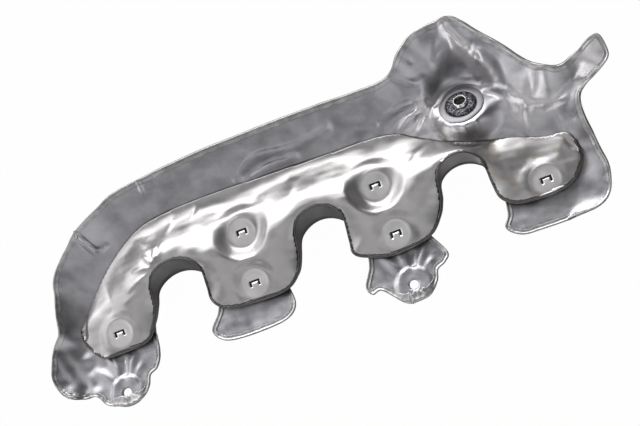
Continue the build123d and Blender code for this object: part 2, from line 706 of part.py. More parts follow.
os.makedirs("parts", exist_ok=True)
origin_x, origin_y = TAB_HOLES[0]
for piece in PIECES:
    export_step(Pos(-origin_x, -origin_y, 0) * piece(), f"parts/{piece.__name__}.step")
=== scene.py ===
"""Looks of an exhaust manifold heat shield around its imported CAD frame.

Lengths are in millimetres until a mesh is made, and the plan starts from the first port's clinch
disc as the CAD source does. ORIGIN moves it to the frame's origin, the left bolt tab's hole.
"""
from itertools import chain

import bpy
import numpy as np
from mathutils import Matrix
from mathutils.geometry import delaunay_2d_cdt


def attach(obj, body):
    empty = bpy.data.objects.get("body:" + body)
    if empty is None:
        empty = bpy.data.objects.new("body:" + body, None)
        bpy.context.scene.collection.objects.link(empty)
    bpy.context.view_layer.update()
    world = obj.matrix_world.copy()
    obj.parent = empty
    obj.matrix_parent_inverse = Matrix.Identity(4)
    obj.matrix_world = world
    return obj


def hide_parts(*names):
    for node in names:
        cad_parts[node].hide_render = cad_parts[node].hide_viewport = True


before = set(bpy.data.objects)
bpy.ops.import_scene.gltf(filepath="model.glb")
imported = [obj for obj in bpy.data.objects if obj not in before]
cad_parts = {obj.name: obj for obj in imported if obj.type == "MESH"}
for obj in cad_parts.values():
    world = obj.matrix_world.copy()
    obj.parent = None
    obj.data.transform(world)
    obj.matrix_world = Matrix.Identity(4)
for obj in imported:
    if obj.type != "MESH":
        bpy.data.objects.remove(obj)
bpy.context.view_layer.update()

# Sizes shared with the CAD source, in millimetres
PORT_PITCH = 97.0
LEG = [i * PORT_PITCH for i in range(4)]
SHELL_SHEET = 0.8
LINER_SHEET = 0.7
# Heights of the shell's rim
BAND_RISE, PEAK_RISE, SADDLE_RISE, HORN_RISE = 31.0, 45.0, 34.0, 44.0
FLANGE_RISE, LOBE_RISE, SKIRT_RISE = 15.0, 15.0, 3.0
# Places across the plan
BAND_EDGE_Y, PEAK_Y, TRAY_EDGE_Y, LINE_Y = 93.0, 111.0, 52.0, 70.0
ARCH_CROWN_Y, LEG_SIDE_Y, LEG_END_Y = 34.5, 9.0, -8.5
FLAP_END_Y, TAB_END_Y = -26.0, -43.5
SHELL_INSET = 2.0
# The horn turns up and levels out just below its rim
HORN_START, HORN_RUN, HORN_Y, HORN_SINK = 34.0, 14.0, 30.0, 1.5
# Heights of the liner at its edges and along its crown, and how they change
LEG_EDGE_Z, ARCH_EDGE_Z, LEG_CROWN_Z, LOG_CROWN_Z = 5.5, 18.0, 8.0, 22.0
CLIMB_POWER = 1.4
SHOULDER, SHOULDER_POWER, CORNER_RUN = 20.0, 2.4, 7.0
EDGE_CLIMB_Y, LAST_RUN, LAST_LOW = 4.0, 24.0, 0.7
# Foot of the liner's wall
WALL_FOOT_Z, LEG_FOOT_Z, THIRD_FOOT_Z, WALL_DRAFT = 2.2, 4.2, 7.5, 4.5
# Clinch discs, and the shell's bosses under them
DISC_R, LOWER_DISC_Z, LAST_DISC_Z, UPPER_DISC_Z, DISC_TILT = 9.5, 9.0, 6.6, 11.5, 8.0
LOWER_DISH, UPPER_DISH = 6.5, 11.0
CLINCH_R, BOSS_FOOT = 4.0, 4.0
# Each disc: its place, its height and the width of the slope round it
DISCS = [
    (LEG[0] - 2, 1.6, LOWER_DISC_Z, LOWER_DISH), (LEG[1] - 0.9, 2.6, LOWER_DISC_Z, LOWER_DISH),
    (LEG[2] - 1.1, 1.4, LOWER_DISC_Z, LOWER_DISH), (LEG[3], 2.0, LAST_DISC_Z, LOWER_DISH),
    (LEG[1] + 0.3, 37.4, UPPER_DISC_Z, UPPER_DISH), (LEG[2] - 4, 35.4, UPPER_DISC_Z, UPPER_DISH),
]
TAB_X = [LEG[0] - 8.0, LEG[2] - 1.0]
TAB_HOLES = [(TAB_X[0] - 0.8, TAB_END_Y + 7.5), (TAB_X[1], TAB_END_Y + 12.0)]
TAB_HOLE_R = 3.0
# Isolator: its place and lean, its seat on the shell, and its plate, wire ring and sleeve
ISO_X, ISO_Y, ISO_Z, ISO_TILT = LEG[3] - 33.0, 64.6, 15.0, 20.0
SEAT_R, SEAT_STEEP, SEAT_SOFT, SOFT_SIDE = 15.2, 8.0, 18.0, (0.8, 0.6)
EYELET_R, EYELET_DROP, COLLAR_R = 14.5, 4.0, 10.6
MESH_R, MESH_RISE, MESH_FOOT = 9.6, 2.5, -3.5
SLEEVE_R, BOLT_R, SLEEVE_RISE = 4.45, 3.5, 4.6
SLEEVE_FLANGE_R, SLEEVE_FOOT = 8.0, -4.5
ORIGIN = (TAB_HOLES[0][0], TAB_HOLES[0][1], 0.0)

# Play between the two sheets: at the liner's upper edge, at the bosses and under the wall
LINE_GAP = 0.45
BOSS_GAP = 0.1
WALL_GAP = 0.8
SLOPED_SHEET = 1.1 * LINER_SHEET   # the liner's thickness straight up where the shell slopes
ISO_HOLE_R = 10.1                  # inside the plate's collar, so that no gap shows

# Spacing of the visual meshes
SHELL_STEP = 1.5
LINER_STEP = 1.15
RIM_STEP = 1.0
HOLE_STEP = 0.8
EDGE_CLEAR = 0.6         # grid places keep this share of a step away from an outline
HOLE_CLEAR = 0.35        # and this share from a hole


# Outlines, from the same points as the CAD source
def arch(left, right, spring_y, inset=0.0):
    """Half ellipse over the gap between two legs, from the right leg to the left one."""
    middle = (left + right) / 2
    half = (right - left) / 2 + inset
    height = ARCH_CROWN_Y - spring_y + inset
    return [
        (middle + half * np.cos(a), spring_y + height * np.sin(a))
        for a in np.radians([15, 40, 65, 90, 115, 140, 165])
    ]


ARCHES = [
    (LEG[0] + 27.5, LEG[1] - 31.5, 19.0),
    (LEG[1] + 34.0, LEG[2] - 28.5, 19.0),
    (LEG[2] + 34.5, LEG[3] - 31.5, 22.0),
]

LINER_TOP = [
    (LEG[0] - 30.5, 10.5), (LEG[0] - 27.5, 18), (LEG[0] - 16, 34), (LEG[0] - 1, 49.5),
    (LEG[0] + 18, LINE_Y - 7.5), (LEG[0] + 38, LINE_Y - 1), (LEG[1] - 20, LINE_Y + 1),
    (LEG[1] + 58, LINE_Y - 1), (LEG[2] + 11, LINE_Y - 4), (LEG[2] + 32, LINE_Y - 13),
    (LEG[3] - 40, 44), (LEG[3] - 14, 37), (LEG[3] + 7, 29), (LEG[3] + 20, 25.5), (LEG[3] + 24, 19),
]

LINER_COMB = [
    (LEG[3] + 24.5, 9), (LEG[3] + 20, 1.5), (LEG[3] + 12, LEG_END_Y + 3.5),
    (LEG[3] - 4, LEG_END_Y + 1.5), (LEG[3] - 21, LEG_END_Y + 3.5), (LEG[3] - 29.5, 1.5),
    (LEG[3] - 31.5, 12),
    *arch(*ARCHES[2]),
    (LEG[2] + 33, 16), (LEG[2] + 28.5, 5), (LEG[2] + 18, LEG_END_Y + 2.5),
    (LEG[2] - 4, LEG_END_Y - 1), (LEG[2] - 18, LEG_END_Y + 1.5), (LEG[2] - 30.5, -1),
    (LEG[2] - 31, 8),
    *arch(*ARCHES[1]),
    (LEG[1] + 31.5, 10), (LEG[1] + 27, 0), (LEG[1] + 16, LEG_END_Y + 1),
    (LEG[1] - 10, LEG_END_Y + 1), (LEG[1] - 26, LEG_END_Y + 4), (LEG[1] - 33, 3),
    (LEG[1] - 33, 12),
    *arch(*ARCHES[0]),
    (LEG[0] + 26, 13), (LEG[0] + 21, 1), (LEG[0] + 14, LEG_END_Y + 0.5),
    (LEG[0] - 6, LEG_END_Y - 1.5), (LEG[0] - 19, LEG_END_Y), (LEG[0] - 28, 2),
]


def bolt_tab(x, end_y):
    """Round end of a bolt tab, from its right ear to its lower left side."""
    return [
        (x + 26, end_y + 24), (x + 22.5, end_y + 18.5), (x + 17, end_y + 15.5),
        (x + 14.5, end_y + 9), (x + 8, end_y + 2), (x - 1, end_y), (x - 9, end_y + 2.5),
    ]


MAIN_RIM = [
    (LEG[0] + 19.5, LEG_END_Y + 4), (LEG[0] + 19.5, -13.5),
    *bolt_tab(TAB_X[0], TAB_END_Y - 1.5),
    # left lobe
    (LEG[0] - 25, TAB_END_Y + 4.5), (LEG[0] - 31, TAB_END_Y + 12), (LEG[0] - 40, TAB_END_Y + 13),
    (LEG[0] - 50, TAB_END_Y + 18), (LEG[0] - 55, TAB_END_Y + 30), (LEG[0] - 49.5, 5),
    (LEG[0] - 42, 14), (LEG[0] - 41, 26), (LEG[0] - 39, 38), (LEG[0] - 34, 52),
    (LEG[0] - 23, 65), (LEG[0] - 9, 75.5), (LEG[0] + 10, 84.5),
    # band
    (LEG[0] + 32, BAND_EDGE_Y - 3), (LEG[1] - 35, BAND_EDGE_Y - 1),
    (LEG[1] - 8, BAND_EDGE_Y + 0.5), (LEG[1] + 30, BAND_EDGE_Y + 1),
    (LEG[2] - 28, BAND_EDGE_Y + 0.5), (LEG[2] + 2, BAND_EDGE_Y - 1),
    (LEG[2] + 20, BAND_EDGE_Y - 1.5),
    # hump and horn
    (LEG[2] + 31, PEAK_Y - 16), (LEG[2] + 40, PEAK_Y - 8), (LEG[2] + 51, PEAK_Y - 1),
    (LEG[3] - 30, PEAK_Y - 0.5), (LEG[3] - 21, PEAK_Y - 1), (LEG[3] - 15, PEAK_Y - 7),
    (LEG[3] - 3, PEAK_Y - 22), (LEG[3] + 9, PEAK_Y - 38), (LEG[3] + 18, PEAK_Y - 48),
    (LEG[3] + 29, PEAK_Y - 53), (LEG[3] + 39, PEAK_Y - 51.5), (LEG[3] + 49, PEAK_Y - 47),
    (LEG[3] + 56, PEAK_Y - 46), (LEG[3] + 58.5, PEAK_Y - 52), (LEG[3] + 58, PEAK_Y - 60),
    (LEG[3] + 52, PEAK_Y - 64.5), (LEG[3] + 41, PEAK_Y - 67), (LEG[3] + 35, PEAK_Y - 73),
    # right flange and fourth flap
    (LEG[3] + 34, 26), (LEG[3] + 36, 8), (LEG[3] + 37, -5), (LEG[3] + 33, FLAP_END_Y + 9),
    (LEG[3] + 24, FLAP_END_Y + 2.5), (LEG[3] + 9, FLAP_END_Y + 1),
    (LEG[3] - 12, FLAP_END_Y + 1), (LEG[3] - 25, FLAP_END_Y + 2),
    (LEG[3] - 33, FLAP_END_Y + 9), (LEG[3] - 29, FLAP_END_Y + 17), (LEG[3] - 27, 6),
]
THIRD_TAB_RIM = [
    (LEG[2] + 18, LEG_END_Y + 4),
    *bolt_tab(TAB_X[1], TAB_END_Y + 1),
    (LEG[2] - 21.5, TAB_END_Y + 15.5), (LEG[2] - 28, TAB_END_Y + 15),
    (LEG[2] - 30.5, TAB_END_Y + 21), (LEG[2] - 25, LEG_END_Y - 3), (LEG[2] - 23, LEG_END_Y + 6),
]
SECOND_FLAP_RIM = [
    (LEG[1] + 18, LEG_END_Y + 4), (LEG[1] + 19.5, FLAP_END_Y + 10),
    (LEG[1] + 15, FLAP_END_Y + 3), (LEG[1] + 4, FLAP_END_Y), (LEG[1] - 20, FLAP_END_Y - 0.5),
    (LEG[1] - 33, FLAP_END_Y + 2), (LEG[1] - 39, FLAP_END_Y + 10),
    (LEG[1] - 33, FLAP_END_Y + 19), (LEG[1] - 30, LEG_END_Y + 8),
]
SHELL_OUTLINE = [
    *MAIN_RIM,
    *arch(*ARCHES[2], SHELL_INSET),
    (LEG[2] + 27, 8),
    *THIRD_TAB_RIM,
    (LEG[2] - 27, 8),
    *arch(*ARCHES[1], SHELL_INSET),
    (LEG[1] + 27, 8),
    *SECOND_FLAP_RIM,
    (LEG[1] - 29, 8),
    *arch(*ARCHES[0], SHELL_INSET),
    (LEG[0] + 22, 9),
]
TRAY = [
    (LEG[0] - 26, TAB_END_Y - 20), (LEG[0] - 26, LEG_END_Y), (LEG[0] - 26, 4),
    (LEG[0] - 18, 15), (LEG[0] - 4, 27), (LEG[0] + 12, 38), (LEG[0] + 28, TRAY_EDGE_Y - 6),
    (LEG[0] + 44, TRAY_EDGE_Y - 2), (LEG[1] - 20, TRAY_EDGE_Y), (LEG[1] + 40, TRAY_EDGE_Y),
    (LEG[2] - 10, TRAY_EDGE_Y - 3), (LEG[2] + 20, TRAY_EDGE_Y - 10), (LEG[2] + 40, 35),
    (LEG[3] - 36, 30), (LEG[3] - 12, 16), (LEG[3] + 8, 11), (LEG[3] + 18, 6),
    (LEG[3] + 15, LEG_END_Y), (LEG[3] - 2, FLAP_END_Y - 10), (LEG[3] - 2, TAB_END_Y - 20),
]
RIM_STATIONS = [
    (LEG[0] - 12, TAB_END_Y, 0.0),
    (LEG[0] - 31, TAB_END_Y + 12, SKIRT_RISE),
    (LEG[0] - 50, TAB_END_Y + 18, LOBE_RISE / 2),
    (LEG[0] - 53, -4, LOBE_RISE * 0.75),
    (LEG[0] - 41, 26, LOBE_RISE),
    (LEG[0] - 29, 60, LOBE_RISE + 5),
    (LEG[0] - 2, 79, BAND_RISE - 6),
    (LEG[0] + 30, BAND_EDGE_Y - 3, BAND_RISE - 2),
    (LEG[1] - 20, BAND_EDGE_Y, BAND_RISE),
    (LEG[1] + 40, BAND_EDGE_Y, BAND_RISE),
    (LEG[2] - 10, BAND_EDGE_Y, BAND_RISE),
    (LEG[2] + 20, BAND_EDGE_Y, BAND_RISE + 1),
    (LEG[2] + 42, PEAK_Y - 6, PEAK_RISE - 4),
    (LEG[3] - 21, PEAK_Y, PEAK_RISE),
    (LEG[3] - 1, PEAK_Y - 25, PEAK_RISE - 4),
    (LEG[3] + 18, PEAK_Y - 48, SADDLE_RISE + 2),
    (LEG[3] + 29, PEAK_Y - 53, SADDLE_RISE),
    (LEG[3] + 41, PEAK_Y - 50, (SADDLE_RISE + HORN_RISE) / 2),
    (LEG[3] + 56, PEAK_Y - 46, HORN_RISE),
    (LEG[3] + 57, PEAK_Y - 58, HORN_RISE - 4),
    (LEG[3] + 38, PEAK_Y - 69, (SADDLE_RISE + FLANGE_RISE) / 2),
    (LEG[3] + 34, 26, FLANGE_RISE + 4),
    (LEG[3] + 36, 2, FLANGE_RISE - 4),
    (LEG[3] + 30, FLAP_END_Y + 6, SKIRT_RISE),
    (LEG[3] + 9, FLAP_END_Y + 1, SKIRT_RISE),
    (LEG[3] - 12, FLAP_END_Y + 1, 0.0),
]
STATION_BLUR = 9.0


# Plan geometry
def smooth(t):
    """0 below 0, 1 above 1, with a level start and end."""
    t = np.clip(t, 0.0, 1.0)
    return t * t * (3 - 2 * t)


def curve(points, step, closed=True):
    """Smooth line through the points (Catmull-Rom), as places one step apart along it."""
    p = np.array(points, float)
    if closed:
        p = np.vstack([p[-1:], p, p[:2]])
    else:
        p = np.vstack([2 * p[:1] - p[1:2], p, 2 * p[-1:] - p[-2:-1]])
    a, b, c, d = p[:-3], p[1:-2], p[2:-1], p[3:]
    t = np.linspace(0, 1, 24, endpoint=False)[:, None, None]
    start, bend, twist = (c - a) / 2, a - 2.5 * b + 2 * c - d / 2, 1.5 * (b - c) + (d - a) / 2
    line = (b + t * start + t**2 * bend + t**3 * twist).transpose(1, 0, 2).reshape(-1, 2)
    line = np.vstack([line, p[-2:-1]])
    run = np.concatenate([[0], np.cumsum(np.hypot(*np.diff(line, axis=0).T))])
    count = max(4, round(run[-1] / step))
    along = np.linspace(0, run[-1], count + 1)
    return np.stack([np.interp(along, run, line[:, 0]), np.interp(along, run, line[:, 1])], -1)


def distance(x, y, line):
    """Distance from each place to the nearest point of a chain of straight runs."""
    place = np.stack([x, y], -1)
    nearest = np.full(place.shape[:-1], np.inf)
    for a, b in zip(line[:-1], line[1:]):
        run = b - a
        along = np.clip((place - a) @ run / (run @ run), 0.0, 1.0)
        gap = place - a - along[..., None] * run
        nearest = np.minimum(nearest, np.hypot(gap[..., 0], gap[..., 1]))
    return nearest


def inside(x, y, line):
    """True inside a closed line, by counting the runs to the right of each place."""
    count = np.zeros(np.shape(x), int)
    for (ax, ay), (bx, by) in zip(line[:-1], line[1:]):
        if ay != by:
            count += ((ay > y) != (by > y)) & (x < ax + (bx - ax) * (y - ay) / (by - ay))
    return count % 2 == 1


TRAY_LINE = curve(TRAY, 4.0)
RIM_LINE = curve(MAIN_RIM, 4.0, closed=False)
TOP_LINE = curve(LINER_TOP, 2.0, closed=False)
COMB_LINE = curve(LINER_TOP[-1:] + LINER_COMB + LINER_TOP[:1], 1.2, closed=False)


# Heights of the two sheets
def rim_height(x, y):
    """Average of the heights at the rim's stations, each weighted by its nearness."""
    total = 0.0
    weights = 0.0
    for x0, y0, rise in RIM_STATIONS:
        weight = ((x - x0) ** 2 + (y - y0) ** 2 + STATION_BLUR**2) ** -2.0
        total = total + weight * rise
        weights = weights + weight
    return total / weights


def disc_height(y, cy, level):
    """A disc's flat rises towards the long rim."""
    return level + (y - cy) * np.tan(np.radians(DISC_TILT))


def shell_form(x, y):
    """The shell without its folds.

    From the tray's edge to the rim it rises by 1 minus a quarter of a cosine wave. The horn levels
    out below its rim, the isolator's seat is a leaning flat, and each boss is a leaning flat too,
    all three blended in by a smooth step of the distance.
    """
    out = np.where(inside(x, y, TRAY_LINE), 0.0, distance(x, y, TRAY_LINE))
    edge = distance(x, y, RIM_LINE)
    part = out / (out + edge + 1e-6)
    z = SHELL_SHEET + rim_height(x, y) * (1 - np.cos(np.pi / 2 * part))
    horn = smooth((x - LEG[3] - HORN_START) / HORN_RUN) * smooth((y - HORN_Y) / HORN_RUN)
    z += (SHELL_SHEET + rim_height(x, y) - HORN_SINK - z) * horn
    seat = ISO_Z - (y - ISO_Y) * np.tan(np.radians(ISO_TILT))
    reach = np.hypot(x - ISO_X, y - ISO_Y)
    facing = ((x - ISO_X) * SOFT_SIDE[0] + (y - ISO_Y) * SOFT_SIDE[1]) / (reach + 1e-6)
    slope = SEAT_STEEP + (SEAT_SOFT - SEAT_STEEP) * smooth((1 + facing) / 2)
    z += (seat - z) * (1 - smooth((reach - SEAT_R) / slope))
    for cx, cy, level, _ in DISCS:
        share = 1 - smooth((np.hypot(x - cx, y - cy) - CLINCH_R) / BOSS_FOOT)
        z += (disc_height(y, cy, level) - LINER_SHEET - BOSS_GAP - z) * share
    return z


def liner_form(x, y):
    """The liner without its folds: it lies on the shell at its upper edge and bulges below it.

    The bulge climbs from its lower edge to its crown by a power curve over the shoulder, and is
    mixed with the seat on the shell by the share of the way from the upper to the lower edge. Each
    disc is a leaning flat, blended in by a smooth step of the distance.
    """
    low = distance(x, y, COMB_LINE)
    top = distance(x, y, TOP_LINE)
    run = CORNER_RUN * (1 - smooth(low / SHOULDER)) + 1e-3
    share = (1 - (low / (top + low + 1e-6)) ** CLIMB_POWER) * smooth(top / run)
    climb = smooth((y - LEG_END_Y) / (ARCH_CROWN_Y - LEG_END_Y))
    edge_climb = smooth((y - EDGE_CLIMB_Y) / (ARCH_CROWN_Y - EDGE_CLIMB_Y))
    keep = 1 - LAST_LOW * smooth((x - ARCHES[2][1]) / LAST_RUN + 0.5)
    edge = LEG_EDGE_Z + (ARCH_EDGE_Z - LEG_EDGE_Z) * edge_climb * keep
    crown = LEG_CROWN_Z + (LOG_CROWN_Z - LEG_CROWN_Z) * climb * keep
    depth = np.minimum(low / SHOULDER, 1.0)
    seat = shell_form(x, y) + SLOPED_SHEET + LINE_GAP
    bulge = edge + (crown - edge) * (1 - (1 - depth) ** SHOULDER_POWER)
    z = seat + np.maximum(bulge - seat, 0.0) * share
    for cx, cy, level, dish in DISCS:
        share = 1 - smooth((np.hypot(x - cx, y - cy) - DISC_R) / dish)
        z += (disc_height(y, cy, level) - z) * share
    return z


def patch(x, y, middle, radius, fade, stretch=(1.0, 1.0)):
    """1 inside a round or stretched area, falling to 0 over the width of its fade."""
    gap = np.hypot((x - middle[0]) / stretch[0], (y - middle[1]) / stretch[1])
    return 1 - smooth((gap - radius) / fade)


FOLD_STEP = 1.2          # spacing of the places along a fold's line
FOLD_REACH = 3.0         # half widths beyond which a fold has died out
# Along a fold the height follows half a sine without its ends, raised to a power
FOLD_END = 0.12
FOLD_FADE = 0.7


def ridge(x, y, points, width, height):
    """A fold along a line: a bell curve across it that fades towards both ends."""
    line = curve(points, FOLD_STEP, closed=False)
    bump = np.zeros(np.shape(x))
    reach = FOLD_REACH * width
    close = np.abs(x - line[:, 0].mean()) < np.ptp(line[:, 0]) / 2 + reach
    close &= np.abs(y - line[:, 1].mean()) < np.ptp(line[:, 1]) / 2 + reach
    px, py = x[close], y[close]
    gap = np.full(px.shape, np.inf)
    along = np.zeros(px.shape)
    for k, (qx, qy) in enumerate(line):
        near = np.hypot(px - qx, py - qy)
        along = np.where(near < gap, k / (len(line) - 1), along)
        gap = np.minimum(gap, near)
    fade = np.sin(np.pi * (FOLD_END + (1 - 2 * FOLD_END) * along)) ** FOLD_FADE
    bump[close] = height * fade * np.exp(-((gap / width) ** 2))
    return bump


def lumps(x, y, points, spread, size, height, count, seed):
    """Small crumples at random places beside a line, each a bell curve longer than wide."""
    rng = np.random.default_rng(seed)
    line = curve(points, 1.0, closed=False)
    total = np.zeros(np.shape(x))
    for _ in range(count):
        qx, qy = line[rng.integers(len(line))] + rng.normal(0, spread, 2)
        turn, long = rng.uniform(0, np.pi), rng.uniform(1.2, 2.6)
        across = ((x - qx) * np.cos(turn) + (y - qy) * np.sin(turn)) / size
        down = ((y - qy) * np.cos(turn) - (x - qx) * np.sin(turn)) / (size * long)
        total += height * rng.uniform(-0.7, 1.0) * np.exp(-(across**2 + down**2))
    return total


def wander(x, y, scale, seed):
    """Soft irregular waves of about that length, from nine sines in random directions."""
    rng = np.random.default_rng(seed)
    total = 0.0
    for _ in range(9):
        turn, phase, size = rng.uniform(0, 2 * np.pi), rng.uniform(0, 2 * np.pi), rng.uniform(0.6, 1.5)
        along = x * np.cos(turn) + y * np.sin(turn)
        total = total + np.sin(2 * np.pi * along / (scale * size) + phase)
    return total / 3


def waves(x, y, kinds):
    """Sum of soft waves, each given as its height, its length and its seed."""
    return sum(height * wander(x, y, length, seed) for height, length, seed in kinds)


# Folds of the outer shell: line, half width and height
SHELL_FOLDS = [
    ([(265.2, 108.4), (265.5, 104.5), (267.4, 100.5), (269.3, 96.1), (271.5, 91.7), (273.5, 87.6),
      (276.3, 83.4), (279.4, 77.8), (281.8, 69.5)], 2.2, 3.2),
    ([(224.6, 91), (227.9, 89.2), (233.1, 86.1), (237.2, 85.1), (241.6, 86.6)], 1.5, 1.9),
    ([(233.4, 77.6), (229, 77.4), (214.4, 75.7), (205.4, 72.7)], 1.4, 2.2),
    ([(231.6, 71.2), (222.5, 68.6), (214.4, 64.1)], 1.5, 2.5),
    ([(234.5, 66.1), (230.8, 62.4), (226.5, 59.6)], 1.3, 2.0),
    ([(236.3, 63.3), (233.6, 61.2), (231.3, 58.7)], 1.1, 1.8),
    ([(242.3, 59.7), (238.8, 59.9), (235.7, 58.8)], 1.1, 1.8),
    ([(229.5, 75.0), (219, 72.5), (209.5, 68.5)], 1.7, -1.8),
    ([(233.0, 68.8), (227.5, 65.5), (221.5, 61.5)], 1.4, -1.8),
    ([(260.4, 106.3), (254.2, 98.7), (247.4, 87.7)], 4.0, -2.2),
    ([(255.4, 95.8), (248, 87.5), (241.1, 81)], 3.2, 2.0),
    ([(241.6, 71), (245.3, 75.5), (250.3, 78.6), (256.8, 80.3), (264.9, 79.7), (273.3, 74.9)],
     1.0, -0.8),
    ([(241.9, 64.9), (244.9, 58.1), (248.9, 55.9), (252.4, 51.7)], 1.2, -1.1),
    ([(245.5, 55.5), (248.5, 51.5), (250.0, 47.5)], 1.3, 1.9),
    ([(255.0, 51.5), (255.8, 48.0), (254.8, 44.5)], 1.3, 1.8),
    ([(262.5, 50.5), (263.0, 47.0), (261.5, 43.5)], 1.2, 1.6),
    ([(273.5, 70.2), (279.3, 67.6), (282.3, 65.3), (285.6, 62), (288.4, 59.5), (287.9, 57.5),
      (293.3, 52.6)], 1.1, 1.9),
    ([(271.0, 66.5), (277.5, 63.8), (281.0, 60.5), (284.5, 56.0)], 1.6, -1.1),
    ([(295.2, 48), (292.6, 47.2), (290.8, 43.7), (290.2, 39), (290.1, 34.3)], 1.2, 2.0),
    ([(294.8, 52), (295.9, 48.8), (300.3, 46.2), (307.2, 43.8), (311.1, 43.2), (315.5, 42.5),
      (319.9, 42.7)], 1.4, 2.1),
    ([(309.8, 38.9), (310.6, 33.0), (311, 27)], 0.9, -0.8),
    ([(303.9, 60.4), (302.0, 56.0), (300.4, 51.8)], 3.0, -1.8),
    ([(312.0, 61.0), (311.0, 54.5), (309.5, 48.0)], 5.0, 2.5),
    ([(-10.1, 73.7), (-7.4, 67.6), (-4.6, 62.2), (-0.5, 61.2), (4, 63.1)], 0.9, 2.4),
    ([(-12.3, 71.6), (-9.0, 65.6), (-6.0, 60.6)], 1.1, -1.8),
    ([(42.6, 90.2), (42.0, 87.0), (41.5, 84)], 0.8, 1.9),
    ([(102.5, 73.9), (112.0, 78.5), (123, 80.8), (149.1, 78.6), (172.9, 81.3)], 2.0, 3.0),
    ([(114.7, 71.7), (130.0, 73.8), (146.3, 73.8)], 1.6, 2.6),
    ([(108.5, 73.5), (124.0, 77.3), (140.0, 76.3)], 1.5, -2.0),
    ([(180.0, 72.0), (188.0, 74.0), (197.0, 73.0)], 2.0, 1.0),
    ([(186.0, 68.5), (194.0, 70.0), (202.0, 68.5)], 1.6, -0.8),
]
# Waves over the whole shell: height, length and seed
SHELL_WAVES = [(0.22, 30.0, 11), (0.06, 8.0, 12)]
# Crushed areas of the shell: middle, radius, fade, stretch and the waves in each
CRUSHED = [
    ((238, 66), 8, 10, (1.6, 1.0), [(0.4, 8.0, 13), (0.12, 3.5, 16)]),
    ((292, 50), 8, 10, (1.0, 1 / 1.3), [(0.15, 6.0, 14)]),
    ((-38, -12), 8, 9, (1.0, 2.0), [(0.45, 12.0, 15)]),
]
# Small crumples: line, spread beside it, size, height, count and seed
SHELL_LUMPS = [
    ([(271.5, 91.7), (275.0, 86.0), (280.0, 76.0)], 2.4, 1.4, 1.3, 30, 21),
    ([(233.4, 77.6), (236.0, 70.0)], 2.0, 1.2, 1.0, 14, 22),
]
# Small round dimples
SHELL_DOTS = [(238.1, 96.5), (320.0, 30.2), (332.2, 47.9)]
DOT_DEPTH = 0.9
DOT_SPREAD = 1.1
# The flange's lower corner hangs a little
SAG_PLACE = (LEG[3] + 31, -18)
SAG_DEPTH, SAG_R = 2.0, 13.0
# Raised disc round the hole of a bolt tab
TAB_DISC_R, TAB_DISC_RISE, TAB_DISC_EDGE = 10.5, 1.3, 2.0
# Draws from that disc: direction from +Y in radians, outer end, half width and height
DRAW_START = 11.5
TAB_DRAWS = [
    (-0.7, 26.0, 3.2, 1.6), (-0.315, 27.0, 1.4, 1.0), (-0.182, 27.0, 1.1, 1.0),
    (0.105, 25.0, 2.2, -0.8), (0.385, 24.0, 2.4, 1.2), (0.735, 20.0, 2.2, 1.0),
]
DRAW_TURN = 0.175        # the second tab's draws lean this much further to the right


def tab_form(x, y):
    """A raised disc on each bolt tab, and ridges that run to it from under the leg."""
    z = np.zeros(np.shape(x))
    for k, (hx, hy) in enumerate(TAB_HOLES):
        z += TAB_DISC_RISE * patch(x, y, (hx, hy), TAB_DISC_R, TAB_DISC_EDGE)
        for turn, end, width, height in TAB_DRAWS:
            turn += DRAW_TURN * k
            steps = (DRAW_START, (DRAW_START + end) / 2, end)
            line = [(hx + r * np.sin(turn), hy + r * np.cos(turn)) for r in steps]
            z += ridge(x, y, line, width, height)
    return z


def shell_top(x, y):
    """The shell's upper side: its form plus waves, crushed areas, folds, crumples and dimples.

    The corner of the flange sinks by a bell curve, and the seat under the plate stays flat.
    """
    z = shell_form(x, y) + waves(x, y, SHELL_WAVES)
    for middle, radius, fade, stretch, kinds in CRUSHED:
        z += patch(x, y, middle, radius, fade, stretch) * waves(x, y, kinds)
    z -= SAG_DEPTH * np.exp(-(((x - SAG_PLACE[0]) ** 2 + (y - SAG_PLACE[1]) ** 2) / SAG_R**2))
    for line, width, height in SHELL_FOLDS:
        z += ridge(x, y, line, width, height)
    for line, spread, size, height, count, seed in SHELL_LUMPS:
        z += lumps(x, y, line, spread, size, height, count, seed)
    for cx, cy in SHELL_DOTS:
        z -= DOT_DEPTH * np.exp(-(((x - cx) ** 2 + (y - cy) ** 2) / DOT_SPREAD))
    z += tab_form(x, y)
    under_plate = patch(x, y, (ISO_X, ISO_Y), EYELET_R, 2.0)
    return z + (shell_form(x, y) - z) * under_plate


# Folds of the liner: line, half width and height
LINER_FOLDS = [
    ([(33.3, 30.9), (24.5, 28.5), (13.2, 24.9)], 1.5, 1.1),
    ([(33.3, 32.9), (28.0, 35.0), (20.9, 35.6)], 1.5, 1.2),
    ([(34.3, 34.9), (32.5, 39.5), (29.9, 43)], 1.5, 1.2),
    ([(36.3, 36.9), (37.5, 42.0), (38.1, 46.5)], 1.5, 1.1),
    ([(39.3, 38.9), (41.5, 42.0), (43.3, 47.6)], 1.6, 0.7),
    ([(24.0, 24.0), (16.0, 20.5), (8.0, 19.0)], 1.8, 0.6),
    ([(48.0, 56.0), (52.0, 62.0), (53.0, 67.0)], 2.2, 0.5),
    ([(30.0, 52.0), (25.0, 57.0), (22.0, 60.0)], 2.4, 0.5),
    ([(66.0, 60.0), (70.0, 66.0), (71.0, 70.0)], 1.4, 0.5),
    ([(136.0, 48.0), (139.0, 55.0), (139.0, 62.0)], 3.0, 0.5),
    ([(228.0, 50.0), (222.0, 46.0), (217.0, 40.0)], 2.0, 0.6),
    ([(257.0, 39.5), (270.0, 37.5), (283.0, 36.0)], 1.6, 0.4),
]
# Waves over the liner: height, length and seed. They die out near its upper edge and its discs
LINER_WAVES = [(0.3, 26.0, 41), (0.06, 8.0, 42)]
CALM_EDGE = 8.0
CALM_DISC = 5.0
